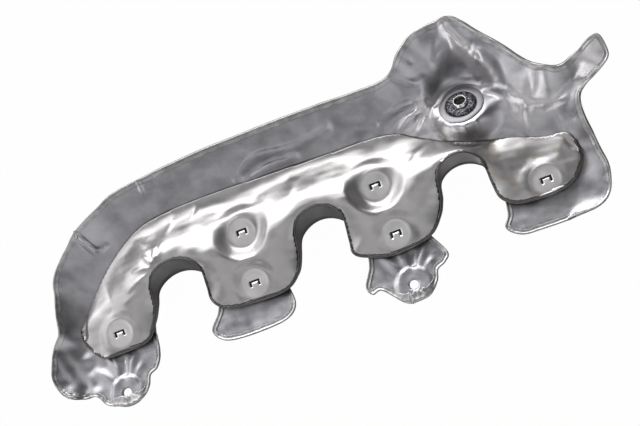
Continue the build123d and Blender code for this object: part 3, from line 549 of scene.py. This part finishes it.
# Lip round the upper half of each disc
LIP_RISE, LIP_WIDTH, LIP_START = 0.28, 0.7, 6.0
# The fourth disc is nearly level here, and leans like the others in the CAD source
LAST_TILT = 2.0


def liner_top(x, y):
    """The liner's upper side: its form plus a lip round each disc, waves and folds."""
    z = liner_form(x, y)
    free = smooth(distance(x, y, TOP_LINE) / CALM_EDGE)
    for cx, cy, _, _ in DISCS:
        gap = np.hypot(x - cx, y - cy)
        free *= smooth((gap - DISC_R) / CALM_DISC)
        lip = np.exp(-(((gap - DISC_R) / LIP_WIDTH) ** 2))
        z += LIP_RISE * lip * smooth((y - cy + LIP_START) / LIP_START)
    cx, cy, _, dish = DISCS[3]
    share = patch(x, y, (cx, cy), DISC_R, dish)
    z -= share * (y - cy) * (np.tan(np.radians(DISC_TILT)) - np.tan(np.radians(LAST_TILT)))
    z += free * waves(x, y, LINER_WAVES)
    for line, width, height in LINER_FOLDS:
        z += free * ridge(x, y, line, width, height)
    return z


# Mesh making
def to_frame(places):
    """Millimetres in the plan's frame to metres in the row's frame."""
    return (np.asarray(places, float) - ORIGIN) / 1000.0


def make_piece(name, places, faces, materials, replaces=()):
    """A mesh object from arrays of places and faces, riding on the only body."""
    mesh = bpy.data.meshes.new(name)
    mesh.from_pydata(to_frame(places), [], faces)
    mesh.polygons.foreach_set("use_smooth", np.full(len(mesh.polygons), True))
    mesh.update()
    piece = bpy.data.objects.new(name, mesh)
    bpy.context.scene.collection.objects.link(piece)
    for material in materials:
        mesh.materials.append(material)
    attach(piece, "root")
    if replaces:
        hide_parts(*replaces)
    return piece


def paint(piece, name, amount):
    """Stores an amount for each place of a mesh, for its material to use."""
    layer = piece.data.attributes.new(name, "FLOAT", "POINT")
    layer.data.foreach_set("value", np.asarray(amount, np.float32))


def inward(line):
    """Unit directions square to a clockwise line, to its inner side."""
    run = np.gradient(line, axis=0)
    return np.stack([run[:, 1], -run[:, 0]], -1) / np.hypot(*run.T)[:, None]


MERGE = 1e-7             # places nearer than this, in millimetres, are one
SLIVER = 1e-4            # a triangle of less than half this area, in square millimetres, is left out


def trimmed_grid(outline, holes, step):
    """Triangles over the inside of a closed outline: a grid of even triangles, cut at the edges.

    Returns the places, the triangles and the places' order along the outline.
    """
    low, high = outline.min(0), outline.max(0)
    row = step * np.sqrt(3) / 2
    y, x = np.meshgrid(
        np.arange(low[1], high[1], row), np.arange(low[0], high[0], step), indexing="ij")
    x = x + step / 2 * (np.arange(len(x)) % 2)[:, None]
    grid = np.stack([x.ravel(), y.ravel()], -1)
    ring = np.vstack([outline, outline[:1]])
    keep = inside(*grid.T, ring) & (distance(*grid.T, ring) > EDGE_CLEAR * step)
    for hole in holes:
        closed = np.vstack([hole, hole[:1]])
        keep &= ~inside(*grid.T, closed) & (distance(*grid.T, closed) > HOLE_CLEAR * step)
    places = np.vstack([outline, *holes, grid[keep]])
    found, _, tris, origin, _, _ = delaunay_2d_cdt(places.tolist(), [], [], 0, MERGE)
    found = np.array(found)
    tris = np.array(tris)
    order = np.full(len(places), -1)
    order[list(chain(*origin))] = np.repeat(np.arange(len(origin)), list(map(len, origin)))
    a, b, c = (found[tris[:, k]] for k in range(3))
    turn = (b[:, 0] - a[:, 0]) * (c[:, 1] - a[:, 1]) - (b[:, 1] - a[:, 1]) * (c[:, 0] - a[:, 0])
    tris = np.where(turn[:, None] > 0, tris, tris[:, ::-1])
    middle = (a + b + c) / 3
    good = inside(*middle.T, ring) & (np.abs(turn) > SLIVER)
    for hole in holes:
        good &= ~inside(*middle.T, np.vstack([hole, hole[:1]]))
    return found, tris[good], order[:len(outline)]


def strip(rows, columns, closed=False):
    """Four-sided faces between rows of places, numbered row by row."""
    across = np.arange(columns if closed else columns - 1)
    r, c = np.meshgrid(np.arange(rows - 1), across, indexing="ij")
    n = (c + 1) % columns
    low, high = r * columns, (r + 1) * columns
    return np.stack([low + c, low + n, high + n, high + c], -1).reshape(-1, 4)


def solidify(piece, thickness):
    """Gives a sheet its thickness below its upper side."""
    wall = piece.modifiers.new("sheet", "SOLIDIFY")
    wall.thickness = thickness / 1000.0
    wall.offset = -1.0
    wall.use_rim = True
    wall.material_offset_rim = 1


# Materials
def linear(code):
    """An sRGB hex colour as linear red, green and blue, with an alpha of 1."""
    value = np.array([int(code[i:i + 2], 16) for i in (1, 3, 5)]) / 255.0
    value = np.where(value <= 0.04045, value / 12.92, ((value + 0.055) / 1.055) ** 2.4)
    return (*value.tolist(), 1.0)


def add_node(tree, kind, settings=None, links=None):
    """A node of that kind. settings hold properties and input values, links hold input sources."""
    node = tree.nodes.new(kind)
    for key, value in (settings or {}).items():
        if isinstance(key, int) or key in node.inputs:
            node.inputs[key].default_value = value
        else:
            setattr(node, key, value)
    for key, source in (links or {}).items():
        tree.links.new(source, node.inputs[key])
    return node


def clear_nodes(holder):
    """Turns nodes on for a material or world, and returns its empty tree."""
    holder.use_nodes = True
    holder.node_tree.nodes.clear()
    return holder.node_tree


def ramp(tree, source, stops):
    """A colour ramp from (position, hex colour) pairs."""
    node = add_node(tree, "ShaderNodeValToRGB", links={0: source})
    elements = node.color_ramp.elements
    while len(elements) < len(stops):
        elements.new(0.5)
    for element, (position, code) in zip(elements, stops):
        element.position = position
        element.color = linear(code)
    return node.outputs["Color"]


# A rolled or turned surface's own grain, under 0.1 mm wide, is too fine to show, so it is drawn
# 0.5 to 1 mm wide
GRAIN_DEPTH = 0.0003     # metres
NOISE_LOW, NOISE_HIGH = 0.3, 0.7   # values between which most of the noise lies


def metal(name, stops, roughness, grain_mm, bump, cloud_mm=14.0, marks=()):
    """Bare metal: cloudy colour, finely varied roughness and a grain of that size in bump.

    marks pairs an attribute of the mesh with the colour that it brings in.
    """
    material = bpy.data.materials.new(name)
    tree = clear_nodes(material)
    place = add_node(tree, "ShaderNodeTexCoord").outputs["Object"]
    cloud = add_node(tree, "ShaderNodeTexNoise",
                     {"Scale": 1000.0 / cloud_mm, "Detail": 5.0, "Roughness": 0.55}, {"Vector": place})
    grain = add_node(tree, "ShaderNodeTexNoise",
                     {"Scale": 1000.0 / grain_mm, "Detail": 3.0, "Roughness": 0.6}, {"Vector": place})
    colour = ramp(tree, cloud.outputs["Fac"], stops)
    for mark, code in marks:
        amount = add_node(tree, "ShaderNodeAttribute", {"attribute_name": mark}).outputs["Fac"]
        mixed = add_node(tree, "ShaderNodeMix", {"data_type": "RGBA", 7: linear(code)},
                         {0: amount, 6: colour})
        colour = mixed.outputs[2]
    rough = add_node(tree, "ShaderNodeMapRange",
                     {"From Min": NOISE_LOW, "From Max": NOISE_HIGH,
                      "To Min": roughness[0], "To Max": roughness[1]},
                     {"Value": cloud.outputs["Fac"]})
    dent = add_node(tree, "ShaderNodeBump", {"Strength": bump, "Distance": GRAIN_DEPTH},
                    {"Height": grain.outputs["Fac"]})
    shader = add_node(tree, "ShaderNodeBsdfPrincipled", {"Metallic": 1.0},
                      {"Base Color": colour, "Roughness": rough.outputs["Result"],
                       "Normal": dent.outputs["Normal"]})
    add_node(tree, "ShaderNodeOutputMaterial", links={"Surface": shader.outputs["BSDF"]})
    return material


# Aluminised steel sheet, cold rolled and dipped: cool grey, satin, with cloudy patches. Its first mark
# is a painted highlight, lighter where folds catch light, and its second is painted shade on the
# bosses under the liner's lance cuts.
SHELL_STEEL = metal(
    "aluminised_steel_shell", [(0.3, "#a19fa2"), (0.5, "#b0afb1"), (0.7, "#c0bec0")],
    (0.29, 0.42), 0.8, 0.2, cloud_mm=12.0, marks=[("painted_highlight", "#dcdada"), ("painted_boss_shade", "#3f3c3a")])
# The same sheet on the liner, a little brighter and warmer from heat. Its first mark is a heat stain,
# and its second is a painted highlight on the discs' flats.
LINER_STEEL = metal(
    "aluminised_steel_liner", [(0.3, "#b2b0ae"), (0.55, "#bcbab8"), (0.75, "#c6c4c2")],
    (0.3, 0.42), 0.8, 0.18, cloud_mm=11.0, marks=[("stain", "#a79b83"), ("painted_disc_highlight", "#e2e0de")])
# The folded rim was pressed flat, which leaves it worn and a touch yellow
RIM_STEEL = metal(
    "aluminised_steel_rim", [(0.3, "#a3a1a0"), (0.55, "#bab8b6"), (0.75, "#cdcbc8")],
    (0.3, 0.42), 1.0, 0.25, cloud_mm=5.0)
# Sheared edge of the sheet: bare steel, dulled by oxide, and darker still as painted shade, for the
# shadow line along the liner's edges. The liner's bend takes it too, purely as painted shade.
CUT_EDGE_AND_BEND_SHADE = metal(
    "oxidised_cut_edge_and_painted_bend_shade", [(0.3, "#5c5a58"), (0.6, "#716e6b"), (0.8, "#87837f")],
    (0.5, 0.62), 0.8, 0.1)
# The isolator's plate: pressed steel, duller than the sheets: rougher, and darker as painted shade
# that dims the reflection on its leaning flat
PLATE_STEEL_SHADED = metal(
    "pressed_steel_plate_painted_darker", [(0.3, "#8a898b"), (0.5, "#979698"), (0.7, "#a8a6a7")],
    (0.42, 0.55), 0.6, 0.2)
# Knitted stainless wire, pressed and heat darkened. Its loops are drawn as specks 1.3 mm wide
WIRE = metal(
    "knitted_wire", [(0.36, "#1c1b1c"), (0.5, "#57565a"), (0.64, "#b4b2b4")],
    (0.35, 0.55), 0.5, 1.0, cloud_mm=1.3)
# Turned steel with a bright zinc finish
SLEEVE_STEEL = metal(
    "zinc_plated_sleeve", [(0.3, "#b9b8b6"), (0.7, "#dddcd9")], (0.22, 0.3), 0.6, 0.1)


# Outer shell
# Painted highlight on the shell, a lighter colour where its crushed folds catch light: middle, radius,
# fade and stretch
PAINTED_HIGHLIGHT_AREAS = [
    ((243, 62), 10, 10, (1.6, 1.0)),
    ((300, 50), 12, 12, (1.0, 1 / 1.3)),
]
PAINTED_HIGHLIGHT_AMOUNT = 0.85
HIGHLIGHT_FOLD, HIGHLIGHT_FOLD_FADE = 2.0, 4.0   # half width of the strip of painted highlight along the hump's long fold
HORN_HIGHLIGHT = (324, 38)                  # the horn has painted highlight beyond this place
HORN_HIGHLIGHT_FADE = (12, 10)
BOSS_SHADE_FADE = 3.0                        # painted shade lies on the bosses, under the liner's lance cuts, and this far round them


def ring_places(cx, cy, radius, step):
    """Places evenly round a circle."""
    count = max(12, round(2 * np.pi * radius / step))
    a = np.linspace(0, 2 * np.pi, count, endpoint=False)
    return np.stack([cx + radius * np.cos(a), cy + radius * np.sin(a)], -1)


def disc_gap(x, y):
    """Distance from each place to the middle of the nearest clinch disc."""
    return np.min([np.hypot(x - cx, y - cy) for cx, cy, _, _ in DISCS], axis=0)


def build_shell():
    """The outer sheet, with two fixing holes and the isolator's hole."""
    outline = curve(SHELL_OUTLINE, SHELL_STEP)[:-1]
    holes = [ring_places(x, y, TAB_HOLE_R, HOLE_STEP) for x, y in TAB_HOLES]
    holes.append(ring_places(ISO_X, ISO_Y, ISO_HOLE_R, SHELL_STEP))
    places, tris, _ = trimmed_grid(outline, holes, SHELL_STEP)
    x, y = places.T
    shell = make_piece("outer_shell_sheet", np.column_stack([places, shell_top(x, y)]),
                       tris.tolist(), [SHELL_STEEL, CUT_EDGE_AND_BEND_SHADE], ["outer_shell"])
    solidify(shell, SHELL_SHEET)
    hump_fold = curve(SHELL_FOLDS[0][0], 2.0, closed=False)
    painted_highlight = 1 - smooth((distance(x, y, hump_fold) - HIGHLIGHT_FOLD) / HIGHLIGHT_FOLD_FADE)
    for area in PAINTED_HIGHLIGHT_AREAS:
        painted_highlight = np.maximum(painted_highlight, patch(x, y, *area))
    horn = smooth((x - HORN_HIGHLIGHT[0]) / HORN_HIGHLIGHT_FADE[0])
    horn *= smooth((y - HORN_HIGHLIGHT[1]) / HORN_HIGHLIGHT_FADE[1])
    # Painted highlight: the shell's colour is lightened along the hump's fold, in the crushed areas
    # and on the horn
    paint(shell, "painted_highlight", PAINTED_HIGHLIGHT_AMOUNT * np.maximum(painted_highlight, horn))
    # Painted shade on the bosses: they show dark through the lance cuts, as shade between the two
    # sheets
    paint(shell, "painted_boss_shade", 1 - smooth((disc_gap(x, y) - CLINCH_R) / BOSS_SHADE_FADE))


# Section of the folded rim: distance inwards from the rim's line, and height above the sheet
RIM_IN = [2.75, 2.8, 2.75, 2.5, 1.6, 0.7, 0.1, -0.25, -0.35, -0.25, 0.1, 0.5, 2.0, 2.0]
RIM_UP = [-0.3, 0.3, 0.65, 0.75, 0.25, 0.5, 0.85, 0.6, -0.2, -0.7, -0.95, -1.0, -0.9, -0.3]
RIM_UPPER = 7            # this many of its points are the upper side, which is creased
RIM_BASE = 0.3           # outside this distance the sheet's height is taken at it
PROBE = 0.4              # half the run over which the sheet's slope is measured
# At a bolt tab the fold is wider below the hole
TAB_FOLD_Y, TAB_FOLD_R, TAB_FOLD_FADE = -6.0, 6.0, 9.0
TAB_FOLD_WIDTH = 1.35
# How rough the fold is at the left lobe and along the lower edge, where a tab counts as 1
LOBE_ROUGH, LOWER_ROUGH = 0.5, 0.25
LOBE_AREA = ((-40, -22), 18, 12)
LOWER_Y, LOWER_FADE = -20.0, 8.0
# Waves of the fold's width and of its upper side: height, length and seed
ROUGH_WIDTH, EVEN_WIDTH = [(0.3, 5.0, 31)], [(0.05, 9.0, 32)]
COARSE_CREASE, FINE_CREASE, EVEN_CREASE = [(0.55, 4.0, 33)], [(0.2, 2.2, 34)], [(0.04, 6.0, 35)]


def crumpled(line, u, w):
    """The rim's section along its line: wider and creased at the tabs and the left lobe.

    Its width is multiplied and its upper side is raised by soft waves, as strong as the fold is
    rough there.
    """
    x, y = line.T
    tab = np.zeros(len(line))
    for hx, hy in TAB_HOLES:
        tab = np.maximum(tab, patch(x, y, (hx, hy + TAB_FOLD_Y), TAB_FOLD_R, TAB_FOLD_FADE))
    rough = np.maximum(tab, LOBE_ROUGH * patch(x, y, *LOBE_AREA))
    rough = np.maximum(rough, LOWER_ROUGH * (1 - smooth((y - LOWER_Y) / LOWER_FADE)))
    width = 1 + TAB_FOLD_WIDTH * tab
    width += rough * waves(x, y, ROUGH_WIDTH) + waves(x, y, EVEN_WIDTH)
    inner = np.clip(u, 0.0, None)[:, None]
    crease = rough * waves(x + 3 * inner, y - 2 * inner, COARSE_CREASE)
    crease += rough * waves(x, y + 5 * inner, FINE_CREASE)
    upper = (np.arange(len(u)) < RIM_UPPER)[:, None]
    lift = np.where(upper, np.abs(crease) + waves(x, y, EVEN_CREASE), 0.0)
    return np.where(inner > 0, inner * width, u[:, None]), w[:, None] + lift


def folded_rim(name, points):
    """The rim's folded layer: a closed section carried along the rim, square to the sheet."""
    line = curve(points, RIM_STEP, closed=False)
    side = inward(line)
    u, w = crumpled(line, np.array(RIM_IN), np.array(RIM_UP))
    x = line[:, 0] + side[:, 0] * u
    y = line[:, 1] + side[:, 1] * u
    base_x = line[:, 0] + side[:, 0] * np.maximum(u, RIM_BASE)
    base_y = line[:, 1] + side[:, 1] * np.maximum(u, RIM_BASE)
    z = shell_top(base_x, base_y)
    rise_x = shell_top(base_x + PROBE, base_y) - shell_top(base_x - PROBE, base_y)
    rise_y = shell_top(base_x, base_y + PROBE) - shell_top(base_x, base_y - PROBE)
    size = np.sqrt((2 * PROBE) ** 2 + rise_x**2 + rise_y**2)
    places = np.stack([x - w * rise_x / size, y - w * rise_y / size, z + w * 2 * PROBE / size], -1)
    rows, count = u.shape
    faces = strip(rows, count)[:, ::-1].tolist()
    last = (rows - 1) * count
    k = np.arange(count - 1)
    faces += np.stack([last + k + 1, k + 1, k, last + k], -1).tolist()
    ends = np.arange(rows) * count
    faces += [ends.tolist()[::-1], (ends + count - 1).tolist()]
    make_piece(name, places.reshape(-1, 3), faces, [RIM_STEEL])


build_shell()
folded_rim("folded_rim_main", MAIN_RIM)
folded_rim("folded_rim_second_flap", SECOND_FLAP_RIM)
folded_rim("folded_rim_third_tab", THIRD_TAB_RIM)


# Liner
LANCE_HALF_WIDTH, LANCE_HALF_LENGTH, LANCE_CUT = 3.5, 2.0, 1.2
LANCE_STEP = 0.4
BEND = 0.22              # outer radius of the bend between the liner's face and its wall
BEND_TURNS = [22.5, 45, 67.5, 90]
WALL_STEPS = [0.25, 0.5, 0.75, 1.0]
WALL_START = 3.0         # the wall starts over this distance from the upper edge's ends
LEAST_WALL = 0.04        # share of the full wall below which none is made
THIRD_FADE = 2.0         # the third arch's foot starts this far outside its sides
THIRD_CLIMB = 10.0
# The flat of each disc, from just inside its edge, is given a lighter colour as a painted highlight
DISC_HIGHLIGHT_INSET, DISC_HIGHLIGHT_FADE = 1.0, 1.5
STAIN_AMOUNT = 0.55      # heat stains, on the fourth leg and beside it
STAIN_START, STAIN_FADE = LEG[3] - 50, 25


def lance_hook(cx, cy):
    """Square hook cut through a disc, as places evenly along it."""
    wide, long, cut = LANCE_HALF_WIDTH, LANCE_HALF_LENGTH, LANCE_CUT
    corners = np.array([
        (-wide, -long), (-wide, long), (wide, long), (wide, -long), (wide - cut, -long),
        (wide - cut, long - cut), (cut - wide, long - cut), (cut - wide, -long), (-wide, -long),
    ])
    run = np.concatenate([[0], np.cumsum(np.hypot(*np.diff(corners, axis=0).T))])
    along = np.arange(0, run[-1] - LANCE_STEP / 2, LANCE_STEP)
    return np.stack([np.interp(along, run, corners[:, k]) for k in (0, 1)], -1) + (cx, cy)


def wall_foot(x, y):
    """Height of the wall's lower edge. It is higher at the legs and in the third arch."""
    at_leg = 1 - smooth((y - LEG_END_Y) / (LEG_SIDE_Y - LEG_END_Y))
    left, right, _ = ARCHES[2]
    in_third = smooth((x - left) / THIRD_FADE + 1) * smooth((right - x) / THIRD_FADE + 1)
    in_third *= smooth((y - LEG_SIDE_Y) / THIRD_CLIMB)
    foot = WALL_FOOT_Z + (LEG_FOOT_Z - WALL_FOOT_Z) * at_leg
    foot += (THIRD_FOOT_Z - WALL_FOOT_Z) * in_third
    return np.maximum(foot, shell_top(x, y) + WALL_GAP)


def build_liner():
    """The comb-shaped sheet, with a bend and a turned-down wall along its legs and arches.

    The bend is rows of places on a quarter circle, and the wall is rows of places that go straight
    down from it to its foot, or lean inwards in the arches.
    """
    line = curve(LINER_TOP + LINER_COMB, LINER_STEP)[:-1]
    side = inward(np.vstack([line[-1:], line, line[:1]]))[1:-1]
    wall = smooth(distance(*line.T, TOP_LINE) / WALL_START)
    on_wall = wall[:, None]
    bend_line = line + side * BEND * on_wall
    lances = [lance_hook(cx, cy) for cx, cy, _, _ in DISCS]
    face, tris, order = trimmed_grid(bend_line, lances, LINER_STEP)
    z = liner_top(*face.T)
    rows = [np.column_stack([face, z])]
    for a in np.radians(BEND_TURNS):
        out = bend_line - side * BEND * np.sin(a) * on_wall
        rows.append(np.column_stack([out, z[order] - BEND * (1 - np.cos(a)) * wall]))
    top = z[order] - BEND * wall
    drop = np.maximum(top - wall_foot(*line.T), 0.0) * wall
    lean = -WALL_DRAFT * smooth((line[:, 1] - LEG_SIDE_Y) / (ARCH_CROWN_Y - LEG_SIDE_Y)) * wall
    for t in WALL_STEPS:
        rows.append(np.column_stack([line[:, 0], line[:, 1] + lean * t, top - drop * t]))
    count = len(line)
    ring = np.arange(count)
    after = (ring + 1) % count
    walled = np.maximum(wall, wall[after]) > LEAST_WALL
    faces = tris.tolist()
    upper = order
    for r in range(len(rows) - 1):
        lower = len(face) + r * count + ring
        quads = np.stack([upper, lower, lower[after], upper[after]], -1)
        faces += quads[walled].tolist()
        upper = lower
    places = np.vstack(rows)
    liner = make_piece("liner_sheet", places, faces, [LINER_STEEL, CUT_EDGE_AND_BEND_SHADE], ["liner"])
    x, y, _ = places.T
    # Painted highlight: the discs' flats are lightened to look lit
    paint(liner, "painted_disc_highlight", 1 - smooth((disc_gap(x, y) - DISC_R + DISC_HIGHLIGHT_INSET) / DISC_HIGHLIGHT_FADE))
    patches = smooth(wander(x, y, 16.0, 51) - 0.1) * smooth(wander(x, y, 6.0, 52) * 0.5 + 0.6)
    paint(liner, "stain", STAIN_AMOUNT * patches * smooth((x - STAIN_START) / STAIN_FADE))
    # The bend takes the dark edge material as painted shade: a dark line where the liner's face turns
    # down
    kinds = np.zeros(len(faces), int)
    kinds[len(tris):len(tris) + len(BEND_TURNS) * walled.sum()] = 1
    liner.data.polygons.foreach_set("material_index", kinds)
    solidify(liner, LINER_SHEET)


build_liner()


# Isolator
TURNED_COLUMNS = 96
PLATE_WAVE = 0.03        # how far the plate's edge strays from a circle, as a share of its radius
WAVE_START, WAVE_RUN = 1.5, 2.5    # it starts this far outside the wire ring and is full after this


def turned(name, profile, material, replaces, wave=0.0):
    """A closed profile of radius and height turned about the isolator's leaning axis.

    The radius strays by three sines of 2, 3 and 7 waves to the turn.
    """
    columns = TURNED_COLUMNS
    r, h = np.array(profile, float).T
    a = np.linspace(0, 2 * np.pi, columns, endpoint=False)
    stray = (0.5 * np.sin(2 * a + 0.7) + 0.3 * np.sin(3 * a + 2.0) + 0.25 * np.sin(7 * a)) * wave
    r = r[:, None] * (1 + stray * smooth((r - MESH_R - WAVE_START) / WAVE_RUN)[:, None])
    x, y = r * np.cos(a), r * np.sin(a)
    z = np.repeat(h[:, None], columns, axis=1)
    tilt = np.radians(ISO_TILT)
    places = np.stack([ISO_X + x, ISO_Y + y * np.cos(tilt) + z * np.sin(tilt),
                       ISO_Z - y * np.sin(tilt) + z * np.cos(tilt)], -1).reshape(-1, 3)
    faces = strip(len(h), columns, closed=True).tolist()
    last = (len(h) - 1) * columns
    k = np.arange(columns)
    n = (k + 1) % columns
    faces += np.stack([last + k, last + n, n, k], -1).tolist()
    make_piece(name, places, faces, [material], replaces)


PLATE_PROFILE = [
    (9.8, 0.4), (10.3, 0.85), (11.3, 0.95), (12.8, 0.85), (14.0, 0.6), (14.4, 0.42),
    (EYELET_R, 0.25), (EYELET_R - 0.15, 0.1),
    (COLLAR_R, 0.1), (COLLAR_R, -EYELET_DROP), (MESH_R + 0.1, -EYELET_DROP),
]
RING_PROFILE = [
    (SLEEVE_R + 0.05, MESH_FOOT), (SLEEVE_R + 0.05, 1.9), (5.2, 2.45), (6.5, MESH_RISE),
    (8.0, 2.3), (9.1, 1.8), (9.55, 1.0), (MESH_R, MESH_FOOT),
]
SLEEVE_PROFILE = [
    (BOLT_R, SLEEVE_FOOT), (BOLT_R, SLEEVE_RISE - 0.3), (BOLT_R + 0.25, SLEEVE_RISE),
    (SLEEVE_R - 0.25, SLEEVE_RISE), (SLEEVE_R, SLEEVE_RISE - 0.25), (SLEEVE_R, MESH_FOOT - 0.05),
    (SLEEVE_FLANGE_R, MESH_FOOT - 0.05), (SLEEVE_FLANGE_R, SLEEVE_FOOT),
]
turned("isolator_plate", PLATE_PROFILE, PLATE_STEEL_SHADED, ["isolator_eyelet"],
       wave=PLATE_WAVE)
turned("isolator_wire_ring", RING_PROFILE, WIRE, ["isolator_mesh"])
turned("isolator_spacer", SLEEVE_PROFILE, SLEEVE_STEEL, ["isolator_sleeve"])


# Camera, floor and light
CAMERA_AZIMUTH, CAMERA_ELEVATION, CAMERA_ROLL = 29.281, 68.0, -47.877
CAMERA_TARGET = (148.399, 35.016, 0.0)   # on the plan, in millimetres
CAMERA_DISTANCE = 695.483
CAMERA_LENS = 60.0
FLOOR_HALF = 3.0                         # metres
FLOOR_GLOW = 0.985                       # share of its look that is plain white
# Place and size in metres, and power in watts
SOFTBOX_PLACE, SOFTBOX_SIZE, SOFTBOX_WATTS = (0.1, 1.3, 0.95), (1.6, 0.6), 8.0
SOFTBOX_AIM = (0.16, 0.07, 0.0)
# The room is dim, with soft bright areas. Each has its direction, the cosine of the angle from
# it at which it is full, that at which it ends, and its strength
ROOM_BASE = 0.13
ROOM_GLOWS = [
    ((0.1, -0.72, 0.69), 1.0, 0.6, 0.35),      # wide, high in front
    ((-0.15, 0.86, 0.48), 0.98, 0.72, 2.0),    # behind
    ((-0.35, 0.9, 0.2), 0.95, 0.65, 0.9),      # low behind
    ((-0.74, -0.67, 0.03), 0.99, 0.91, 2.4),   # low in front, on the left
    ((0.4, -0.88, 0.28), 0.98, 0.86, 0.7),     # low in front, on the right
    ((-0.1, -0.3, 0.95), 1.0, 0.85, 0.3),      # overhead
    ((-0.8, 0.25, 0.55), 0.98, 0.8, 1.2),      # on the left
    ((-0.43, -0.3, 0.85), 1.0, 0.93, 0.25),    # overhead, on the left
]


def place_by(thing, right, up, back, eye):
    """Stands an object at a place, with its own x, y and z along three directions."""
    matrix = np.eye(4)
    matrix[:3] = np.column_stack([right, up, back, eye])
    thing.matrix_world = Matrix(matrix.tolist())


def add_camera():
    """A camera that looks at its target from an azimuth and elevation, rolled about its view."""
    a, e, r = np.radians([CAMERA_AZIMUTH, CAMERA_ELEVATION, CAMERA_ROLL])
    back = np.array([np.cos(e) * np.sin(a), -np.cos(e) * np.cos(a), np.sin(e)])
    right = np.array([np.cos(a), np.sin(a), 0.0])
    up = np.cross(back, right)
    lens = bpy.data.cameras.new("camera")
    lens.lens = CAMERA_LENS
    lens.sensor_width = 36.0
    lens.clip_start = 0.01
    camera = bpy.data.objects.new("camera", lens)
    bpy.context.scene.collection.objects.link(camera)
    eye = to_frame(np.array(CAMERA_TARGET) + CAMERA_DISTANCE * back)
    place_by(camera, np.cos(r) * right + np.sin(r) * up, np.cos(r) * up - np.sin(r) * right, back, eye)
    bpy.context.scene.camera = camera


def white_paper():
    """Matt paper that the camera sees as almost plain white."""
    paper = bpy.data.materials.new("white_paper_sweep")
    tree = clear_nodes(paper)
    matt = add_node(tree, "ShaderNodeBsdfDiffuse", {"Color": linear("#9c9c9c")})
    glow = add_node(tree, "ShaderNodeEmission", {"Color": linear("#ffffff"), "Strength": 1.0})
    seen = add_node(tree, "ShaderNodeLightPath").outputs["Is Camera Ray"]
    share = add_node(tree, "ShaderNodeMath", {"operation": "MULTIPLY", 1: FLOOR_GLOW}, {0: seen})
    mixed = add_node(tree, "ShaderNodeMixShader",
                     links={0: share.outputs[0], 1: matt.outputs[0], 2: glow.outputs[0]})
    add_node(tree, "ShaderNodeOutputMaterial", links={"Surface": mixed.outputs[0]})
    return paper


def add_softbox(name, place, size, watts, aim):
    """A rectangular area light that faces its aim."""
    light = bpy.data.lights.new(name, "AREA")
    light.shape = "RECTANGLE"
    light.size, light.size_y = size
    light.energy = watts
    lamp = bpy.data.objects.new(name, light)
    bpy.context.scene.collection.objects.link(lamp)
    back = np.array(place, float) - aim
    back /= np.linalg.norm(back)
    right = np.cross((0, 0, 1), back)
    right /= np.linalg.norm(right)
    place_by(lamp, right, np.cross(back, right), back, place)


def glow_towards(tree, place, direction, near, far, strength):
    """Brightness that rises smoothly as the view comes near to a direction."""
    unit = np.array(direction, float) / np.linalg.norm(direction)
    facing = add_node(tree, "ShaderNodeVectorMath", {"operation": "DOT_PRODUCT", 1: unit.tolist()},
                      {0: place})
    rise = add_node(tree, "ShaderNodeMapRange",
                    {"interpolation_type": "SMOOTHSTEP", "From Min": far, "From Max": near,
                     "To Max": strength},
                    {"Value": facing.outputs["Value"]})
    return rise.outputs["Result"]


def add_room():
    """The world: plain white behind the object, and a dim room with soft bright areas on it.

    The metal reflects that room, because a white one would hide its form.
    """
    world = bpy.data.worlds.new("studio")
    bpy.context.scene.world = world
    tree = clear_nodes(world)
    place = add_node(tree, "ShaderNodeTexCoord").outputs["Generated"]
    base = add_node(tree, "ShaderNodeValue")
    base.outputs[0].default_value = ROOM_BASE
    total = base.outputs[0]
    for glow in ROOM_GLOWS:
        part = glow_towards(tree, place, *glow)
        total = add_node(tree, "ShaderNodeMath", {"operation": "ADD"}, {0: total, 1: part}).outputs[0]
    seen = add_node(tree, "ShaderNodeLightPath").outputs["Is Camera Ray"]
    room = add_node(tree, "ShaderNodeBackground", {"Color": linear("#fbfbff")}, {"Strength": total})
    white = add_node(tree, "ShaderNodeBackground", {"Color": linear("#ffffff"), "Strength": 1.0})
    mixed = add_node(tree, "ShaderNodeMixShader",
                     links={0: seen, 1: room.outputs[0], 2: white.outputs[0]})
    add_node(tree, "ShaderNodeOutputWorld", links={"Surface": mixed.outputs[0]})


add_camera()

corners = [(-FLOOR_HALF, -FLOOR_HALF, 0), (FLOOR_HALF, -FLOOR_HALF, 0),
           (FLOOR_HALF, FLOOR_HALF, 0), (-FLOOR_HALF, FLOOR_HALF, 0)]
floor_mesh = bpy.data.meshes.new("floor")
floor_mesh.from_pydata(corners, [], [(0, 1, 2, 3)])
floor_mesh.materials.append(white_paper())
floor = bpy.data.objects.new("floor", floor_mesh)
bpy.context.scene.collection.objects.link(floor)

add_softbox("back_softbox", SOFTBOX_PLACE, SOFTBOX_SIZE, SOFTBOX_WATTS, SOFTBOX_AIM)
add_room()

bpy.context.scene.view_settings.view_transform = "Standard"
